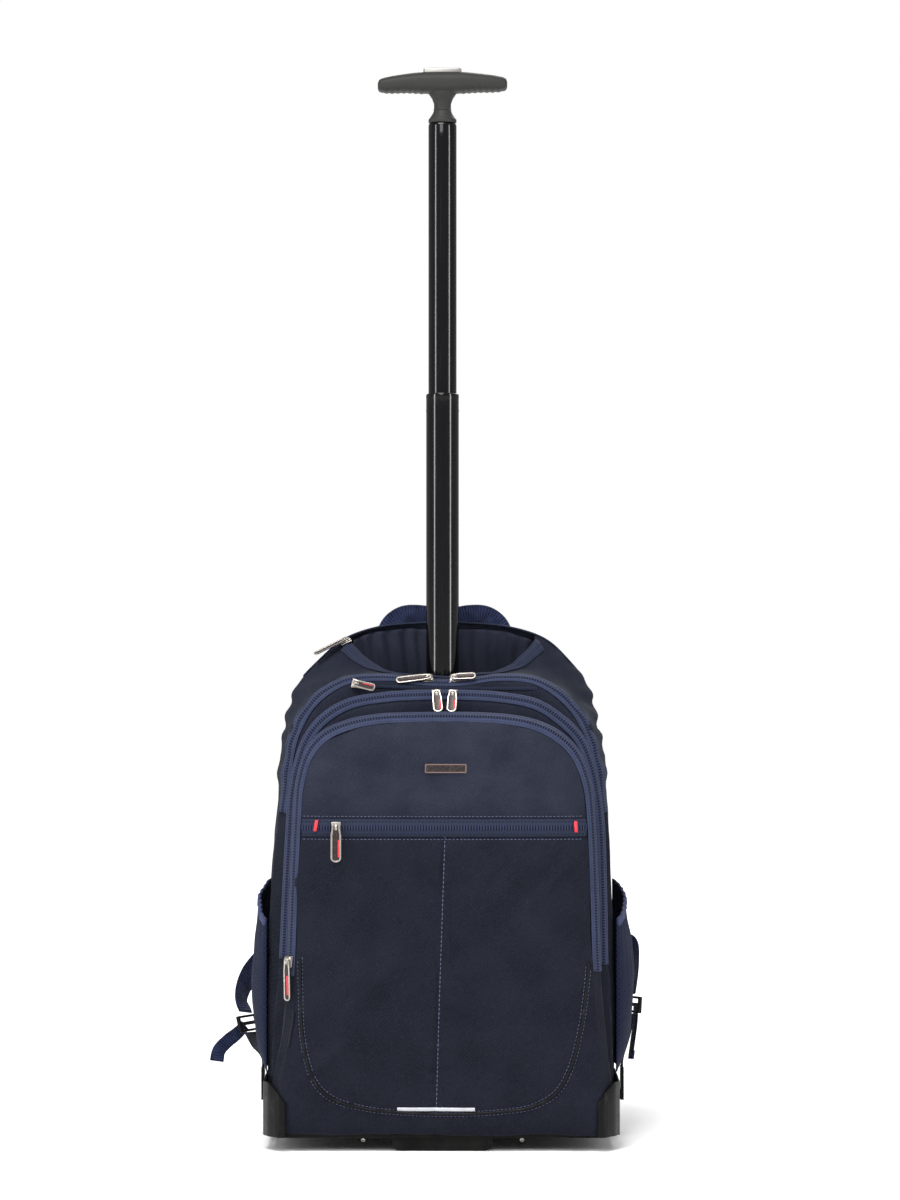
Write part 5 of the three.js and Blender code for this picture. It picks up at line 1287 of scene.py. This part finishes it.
def shoulderStraps():
    for side, name in ((-1, "left"), (1, "right")):
        four = [
            Vector((x * half, lift * 13.1, z * bag["height"], width * 60)) for x, z, lift,
            width in strapRoute
        ]
        dense = [curvePoint(four, i / 70) for i in range(71)]
        line = [Vector((side * p[0], 171.6 + p[1], bag["floor"] + p[2])) for p in dense]
        outs = [Vector((0, 1, 0.001))] * len(line)
        widths = [p[3] / 60 for p in dense]
        bm = bmesh.new()
        sweepLoop(bm, line, outs, strapSection(), widths)
        strap = finishPiece(
            bm, "padded_strap_" + name, "padMesh", "root", ["shoulder_strap_" + name]
        )

        def rise(co):
            return 0.5 * crumple(co.x, co.y, co.z, 14, 8.1) - 1.4 * bell(math.fmod(co.z, 52) - 26, 3)

        pressed(strap, rise)
        for edge in (-1, 1):
            bm = bmesh.new()
            rim = []
            for i, p in enumerate(line):
                run = (line[min(i + 1, 70)] - line[max(i - 1, 0)]).normalized()
                rim.append(p + run.cross(Vector((0, 1, 0))).normalized() * 28.4 * widths[i] * edge)
            sweepLoop(bm, rim, outs, flatSection(4.6, 3.4, 12, 0.7))
            finishPiece(
                bm, "strap_binding_%s_%s" % (name, "a" if edge < 0 else "b"), "darkBinding",
            )


shoulderStraps()
print("padding sewn")


# Webbing of the shoulder straps: rows are out, back, up and turn, measured from the side, the rear panel and
# the floor

webbing = {
    -1: {
        "upper": [(-15.4, 20.6, 189, 0), (-7, 22, 175, 0.08), (9, 20, 161, 0.3), (25, 11, 143, 0.6),
                  (30, 1, 126, 0.7), (25.4, -3.8, 112.9, 0.7)],
        "lower": [(21, -6.2, 93.6, 0.75), (14, -10, 78, 0.85), (8.5, -13.2, 68, 1), (8, -13.5, 62.2, 1)],
        "tail": [
            (25.65, -3.7, 100, 0.6), (34, -6, 92, 0.5), (43, -9, 85, 0.4), (51, -10, 76, 0.3),
            (53, -10, 66, 0.25)
        ],
        "seat": 0.455,
    },
    1: {
        "upper": [(-15.4, 20.6, 189, 0), (-8, 22, 176.5, 0.05), (5, 21.5, 174, 0.3), (18, 12, 174, 0.6),
                  (21, 1, 158, 0.8), (18, -5, 130, 0.85)],
        "lower": [(17, -6, 111.5, 0.85), (13, -9.5, 88, 0.9), (8.5, -13.2, 68, 1), (8, -13.5, 62.2, 1)],
        "tail": [
            (22, -3.3, 119, 0.85), (21.4, -4.6, 104, 0.85), (19, -6.5, 86, 0.85), (16.5, -8.5, 68, 0.85)
        ],
        "seat": 0.5,
    },
}


def webbingLine(side, rows, count):
    four = [Vector((out, back, up, turn * 30)) for out, back, up, turn in rows]
    dense = [curvePoint(four, i / (count - 1)) for i in range(count)]
    line = [Vector((side * (half + p[0]), bag["mainBack"] + p[1], p[2])) for p in dense]
    outs = [
        Vector(
            (side * math.sin(p[3] / 30 * math.pi / 2), math.cos(p[3] / 30 * math.pi / 2), 0)
        ) for p in dense
    ]
    return line, outs


def strapWebbing():
    parts = (("upper", "lower_webbing_", 25, "webbing"), ("lower", "anchor_webbing_", 25, "darkWebbing"),
             ("tail", "webbing_tail_", 14, "webbing"))
    for side, name in ((-1, "left"), (1, "right")):
        for key, node, width, look in parts:
            line, outs = webbingLine(side, webbing[side][key], 46)
            bm = bmesh.new()
            sweepLoop(bm, line, outs, flatSection(width, 1.8, 26))
            if key == "tail":
                hem, hemOuts = line[-8:], outs[-8:]
                sweepLoop(
                    bm, [p + o * 1.3 for p, o in zip(hem, hemOuts)], hemOuts,
                    flatSection(width - 0.6, 1.2, 20)
                )
            finishPiece(bm, "strap_%s_%s" % (key, name), look, "root", [node + name])
        start = webbingLine(side, webbing[side]["lower"], 3)[0][0]
        end = webbingLine(side, webbing[side]["upper"], 3)[0][-1]
        along = (end - start).normalized()
        out = Vector((side, 0.6, 0))
        out = (out - along * out.dot(along)).normalized()
        across = along.cross(out)
        xs = (-16.5, -13.1, 13.1, 16.5)
        zs = (-8.0, -5.7, -1.7, 1.7, 5.7, 8.0)
        bm = bmesh.new()
        made = {(i, j): bm.verts.new(start.lerp(end, webbing[side]["seat"]) + across * x + along * z)
                for i, x in enumerate(xs) for j, z in enumerate(zs)}
        for i in range(3):
            for j in range(5):
                if not (i == 1 and j in (1, 3)):
                    bm.faces.new([made[i, j], made[i + 1, j], made[i + 1, j + 1], made[i, j + 1]])
        buckle = finishPiece(
            bm, "ladder_buckle_" + name, "plastic", "root", ["strap_adjuster_" + name]
        )
        thicken(buckle, 3.6, 0.0)
        roundEdges(buckle, 0.9, 3)


strapWebbing()

# Grab handle: rows are a share of its half width, back, up and lean, from its left end to its middle
grab = {
    "rows": [(-1, 1.7, 0, 0), (-1, 2.6, 10, 0), (-0.92, 5.5, 21, 0.1), (-0.7, 9, 30, 0.25),
             (-0.42, 12, 31, 0.3),
             (0, 14, 26.5, 0.25)],
    "half": 56, "middle": 2, "seat": 466.5, "width": 20, "thick": 2.34,
}


def grabHandle():
    rows = grab["rows"] + [(-x, back, up, lean) for x, back, up, lean in reversed(grab["rows"][:-1])]
    four = [Vector((grab["half"] * x + grab["middle"], back, up, lean * 40)) for x, back, up, lean in rows]
    dense = [curvePoint(four, i / 110) for i in range(111)]
    line = [Vector((p[0], bag["mainBack"] + p[1], grab["seat"] + p[2])) for p in dense]
    outs = [
        Vector((0, math.cos(p[3] / 40 * math.pi / 2), math.sin(p[3] / 40 * math.pi / 2))) for p in dense
    ]
    bm = bmesh.new()
    sweepLoop(bm, line, outs, flatSection(grab["width"], grab["thick"], 26))
    finishPiece(bm, "carry_loop", "webbing", "root", ["grab_handle"])


grabHandle()
print("webbing sewn")


# Vinyl corner guards: the imported shape, softened, with small dents over it

def cornerGuards():
    for name in ("left", "right"):
        node = nodes["corner_guard_" + name]
        bm = bmesh.new()
        bm.from_mesh(node.data)
        bmesh.ops.remove_doubles(bm, verts=bm.verts, dist=1e-6)
        bmesh.ops.recalc_face_normals(bm, faces=bm.faces)
        longEdges = [e for e in bm.edges if e.calc_length() > 0.006]
        bmesh.ops.subdivide_edges(bm, edges=longEdges, cuts=2, use_grid_fill=True)
        bmesh.ops.triangulate(bm, faces=[f for f in bm.faces if len(f.verts) > 4])
        bmesh.ops.scale(bm, verts=bm.verts, vec=(1000, 1000, 1000))
        bm.normal_update()
        moves = [(v, v.normal * (0.35 * crumple(v.co.x, v.co.y, v.co.z, 9, 4.4))) for v in bm.verts]
        for v, move in moves:
            v.co += move
        guard = finishPiece(
            bm, "vinyl_guard_" + name, "vinyl", "root", ["corner_guard_" + name]
        )
        roundEdges(guard, 0.5, 3, 45)


cornerGuards()


# Trolley handle: grip with finger ribs, its neck and button, and the tubes

grip = {
    "rows": [(-1, 0.42, 0.12, 0.22), (-0.97, 0.44, 0.24, 0.36), (-0.85, 0.47, 0.31, 0.42),
             (-0.55, 0.54, 0.37, 0.47),
             (-0.3, 0.56, 0.42, 0.5), (0, 0.55, 0.45, 0.5), (0.3, 0.57, 0.42, 0.5), (0.55, 0.56, 0.37, 0.47),
             (0.85, 0.52, 0.31, 0.42), (0.97, 0.5, 0.24, 0.36), (1, 0.48, 0.12, 0.22)],
    "half": 62.0, "deep": 34.0, "high": 24.0, "low": 994.0, "ribFrom": 17.45, "ribPitch": 5.6, "ribs": 7,
    "neck": [(13.45, 0), (13.45, 0.12), (12.25, 0.18), (9.25, 0.36), (8.15, 0.48), (9.05, 0.5), (8.15, 0.52),
             (8.15, 0.72), (10.05, 0.92), (13.45, 1.12), (14.0, 1.25)],
}


def gripRow(t):
    wide, high, deep = grip["half"], grip["high"], grip["deep"]
    four = [Vector((x * wide, m * high, h * high, d * deep)) for x, m, h, d in grip["rows"]]
    return curvePoint(four, t)


def handleGrip():
    rows = []
    for k in range(221):
        x, middleZ, high, deep = gripRow(k / 220)
        row = []
        ribShare = (abs(x) - grip["ribFrom"]) / grip["ribPitch"]
        onRibs = 0 < ribShare < grip["ribs"]
        for i in range(44):
            c, s = math.cos(2 * math.pi * i / 44), math.sin(2 * math.pi * i / 44)
            y = pole + math.copysign(abs(c) ** 0.75, c) * deep
            z = grip["low"] + middleZ + math.copysign(abs(s) ** 0.75, s) * high
            if onRibs and s < -0.15:
                z -= 0.75 * (
                    0.5 - 0.5 * math.cos(2 * math.pi * ribShare)
                ) ** 0.6 * min((-s - 0.15) * 3, 1) - 0.2
            row.append(Vector((x, y, z)))
        rows.append(row)
    bm = bmesh.new()
    extrudeRows(bm, rows, closed=True, caps=True)
    made = finishPiece(bm, "t_grip", "gripPlastic", "upper_stage", ["handle_grip"])
    plan = [(p.x, p.z) for p in roundedPlan(18.75, pole - 8.05, pole + 8.05, 4.5, 56)]
    cutOut(made, [cutterPrism(plan, 1004.6, 1060)])
    roundEdges(made, 0.4, 2, 50)
    bm = bmesh.new()
    rings = []
    for radius, share in grip["neck"]:
        rings.append([Vector((radius * math.cos(a), pole + radius * math.sin(a), 969 + share * 25))
                      for a in [2 * math.pi * i / 48 for i in range(48)]])
    extrudeRows(bm, rings, closed=True, caps=True)
    neck = finishPiece(bm, "grip_neck", "gripPlastic", "upper_stage", ())
    roundEdges(neck, 0.5, 3, 30)
    bm = bmesh.new()
    beveledBox(bm, (36.4, 15, 16.6), (0, pole, 1013.3), 1.6, 4)
    for v in bm.verts:
        if v.co.z > 1012:
            v.co.z += 0.5 * (1 - (v.co.x / 18.2) ** 2) - 0.5
    finishPiece(bm, "release_button", "buttonMetal", "grip_button", ["handle_button"])


handleGrip()


def tubes():
    turns = [2 * math.pi * i / 72 for i in range(72)]

    def ring(radius, z, arch=0.0):
        return [
            Vector(
                (radius * math.cos(a), pole + radius * math.sin(a), z + arch * -math.sin(a))
            ) for a in turns
        ]

    bm = bmesh.new()
    levels = [(12.0, 664.0), (13.0, 664.2), (13.45, 665.2)] + [
        (13.45, 665.2 + 300.8 * i / 24) for i in range(1, 25)
    ]
    levels += [(13.1, 967.6), (12.4, 968.7)]
    extrudeRows(bm, [ring(r, z) for r, z in levels], closed=True)
    made = finishPiece(bm, "upper_stage_tube", "lacquer", "upper_stage", ["upper_tube"])
    thicken(made, 1.2)
    bm = bmesh.new()
    levels = [(14.6, 385.0, 0), (15.3, 385.3, 0), (15.65, 386.3, 0)]
    levels += [(15.65, 386.3 + 318 * i / 26, 0.9 * i / 26) for i in range(1, 27)]
    levels += [
        (15.75, 705.4, 1.0), (15.75, 707.6, 1.2), (15.4, 708.4, 1.2), (14.7, 708.6, 1.2), (14.1, 708.0, 1.2)
    ]
    extrudeRows(bm, [ring(r, z, arch) for r, z, arch in levels], closed=True)
    made = finishPiece(bm, "lower_stage_tube", "lacquer", "lower_stage", ["lower_tube"])
    thicken(made, 1.2)
    bm = bmesh.new()
    for z, radius, angle in ((702.3, 1.7, -90), (692.7, 1.3, 0), (692.7, 1.3, 180)):
        a = math.radians(angle)
        outward = Vector((math.cos(a), math.sin(a), 0))
        centre = Vector((0, pole, z)) + outward * 15.3
        rings = []
        for r, out in ((radius, 0), (radius, 0.3), (radius * 0.8, 0.45), (radius * 0.3, 0.5)):
            side = outward.cross(Vector((0, 0, 1)))
            rings.append([centre + outward * out + side * r * math.cos(b) + Vector((0, 0, r * math.sin(b)))
                          for b in [2 * math.pi * i / 16 for i in range(16)]])
        extrudeRows(bm, rings, closed=True, caps=True)
    finishPiece(bm, "tube_pins", "plastic", "lower_stage", ())


tubes()
print("handle fitted")


# Wheels: grooved tyre and a spoked hub, and a screw in each stud

def wheels():
    tread = [(-6.5, 20.2), (-8.4, 21), (-9, 23), (-8.8, 25.5), (-7.4, 27.3), (-4.2, 28), (-3.4, 27.4),
             (-2.6, 28),
             (2.6, 28), (3.4, 27.4), (4.2, 28), (7.4, 27.3), (8.8, 25.5), (9, 23), (8.4, 21), (6.5, 20.2)]
    for side, name in ((-1, "left"), (1, "right")):
        def ring(x, radius, wave=0.0):
            out = []
            for i in range(72):
                a = 2 * math.pi * i / 72
                deep = wave * (0.5 - 0.5 * math.cos(6 * a))
                out.append(
                    Vector((side * 133 + x + deep, 150 + radius * math.cos(a), 28 + radius * math.sin(a)))
                )
            return out

        bm = bmesh.new()
        extrudeRows(bm, [ring(x, r) for x, r in tread + tread[:1]], closed=True)
        bmesh.ops.remove_doubles(bm, verts=bm.verts, dist=0.01)
        finishPiece(bm, "tyre_" + name, "rubber", "wheel_" + name, ["wheel_tyre_" + name])
        bm = bmesh.new()
        levels = [(-6.4, 4.4, 0), (-6.4, 7, 0), (-6.2, 8, 1), (-5.8, 12, 3.4), (-5.8, 16.5, 3.4),
                  (-6.2, 18.2, 0.5), (-6.6, 19.9, 0),
                  (6.6, 19.9, 0), (6.2, 18.2, -0.5), (5.8, 16.5, -3.4), (5.8, 12, -3.4), (6.2, 8, -1),
                  (6.4, 7, 0), (6.4, 4.4, 0)]
        extrudeRows(bm, [ring(x, r, wave) for x, r, wave in levels + levels[:1]], closed=True)
        bmesh.ops.remove_doubles(bm, verts=bm.verts, dist=0.01)
        finishPiece(
            bm, "spoked_hub_" + name, "plastic", "wheel_" + name, ["wheel_hub_" + name]
        )
        low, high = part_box("base_stud_" + name)
        bm = bmesh.new()
        at = Vector(((low.x + high.x) / 2, low.y, (low.z + high.z) / 2 - 0.001)) / mm
        rings = []
        for radius, out in ((2.1, 0), (2.1, 0.4), (1.8, 0.8), (1.2, 1.0), (1.0, 0.6), (0.3, 0.5)):
            rings.append([at + Vector((radius * math.cos(b), -out, radius * math.sin(b)))
                          for b in [2 * math.pi * i / 24 for i in range(24)]])
        extrudeRows(bm, rings, closed=True, caps=True)
        finishPiece(bm, "stud_screw_" + name, "nickel")


wheels()
print("wheels fitted")


# Camera, where the photograph's stood: level, half a metre up, in front of the pole

cameraData = bpy.data.cameras.new("camera")
cameraData.sensor_width = 36
cameraData.lens = 136.2
cameraData.clip_end = 60
cameraData.shift_x = 7.5 / 1200
camera = bpy.data.objects.new("camera", cameraData)
camera.location = (0, -4.23, 0.5114)
camera.rotation_euler = (math.pi / 2, 0, 0)
scene.collection.objects.link(camera)
scene.camera = camera


# Studio: a pale floor, a soft light over the front, one behind, and a tall strip at each side

studio = {
    "strips": {"away": 2.6, "azimuth": 58, "size": (0.35, 2.2), "power": 40},
    "top": {"at": (-0.5, -1.3, 2.9), "size": (1.7, 1.4), "power": 105},
    "front": {"at": (-0.6, -3.6, 2.3), "size": (1.6, 1.2), "power": 38},
    "back": {"at": (0.7, 2.8, 2.6), "size": (1.8, 1.4), "power": 60},
    "world": 0.33,
}


# White paper floor. Far from the bag, where the lamps do not reach, it glows to stay as white as the air.
def studioFloor():
    material, tree, place = newMaterial("paper_floor", 0.95, 0.0, {"Emission Color": (1, 1, 1, 1)})
    dress(material, tinted(tree, "F7F7F7", [(patches(tree, place, 60, 0.3, 0.7), 1.0, "FBFBFB")]))
    away = addNode(tree, "VectorMath", {"operation": "LENGTH"}, [place], "Value")
    glow = addNode(tree, "MapRange", None, [away, 0.6, 2.6, 0.0, 0.7])
    tree.links.new(glow, tree.nodes["Principled BSDF"].inputs["Emission Strength"])
    bm = bmesh.new()
    bmesh.ops.create_circle(bm, cap_ends=True, segments=64, radius=30)
    mesh = bpy.data.meshes.new("floor")
    bm.to_mesh(mesh)
    bm.free()
    floor = bpy.data.objects.new("floor", mesh)
    mesh.materials.append(material)
    scene.collection.objects.link(floor)


def softLight(name, at, size, power, aim=(0, 0.1, 0.45)):
    data = bpy.data.lights.new(name, "AREA")
    data.shape = "RECTANGLE"
    data.size, data.size_y = size
    data.energy = power
    light = bpy.data.objects.new(name, data)
    light.location = at
    light.rotation_euler = (Vector(aim) - Vector(at)).to_track_quat("-Z", "Y").to_euler()
    scene.collection.objects.link(light)


studioFloor()
for side in (-1, 1):
    row = studio["strips"]
    angle = math.radians(row["azimuth"])
    at = (side * row["away"] * math.sin(angle), 0.125 - row["away"] * math.cos(angle), 0.75)
    softLight("strip_" + ("left" if side < 0 else "right"), at, row["size"], row["power"], (0, 0.125, 0.75))
softLight("top_light", studio["top"]["at"], studio["top"]["size"], studio["top"]["power"])
softLight("back_light", studio["back"]["at"], studio["back"]["size"], studio["back"]["power"])
softLight("front_light", studio["front"]["at"], studio["front"]["size"], studio["front"]["power"])
world = bpy.data.worlds.new("studio_air")
scene.world = world
world.use_nodes = True
world.node_tree.nodes["Background"].inputs["Color"].default_value = (1, 1, 1, 1)
air = world.node_tree
seen = addNode(air, "LightPath", out="Is Camera Ray")
glow = addNode(air, "Math", {"operation": "MULTIPLY_ADD"}, [seen, 1 - studio["world"], studio["world"]])
air.links.new(glow, air.nodes["Background"].inputs["Strength"])
scene.view_settings.view_transform = "Standard"
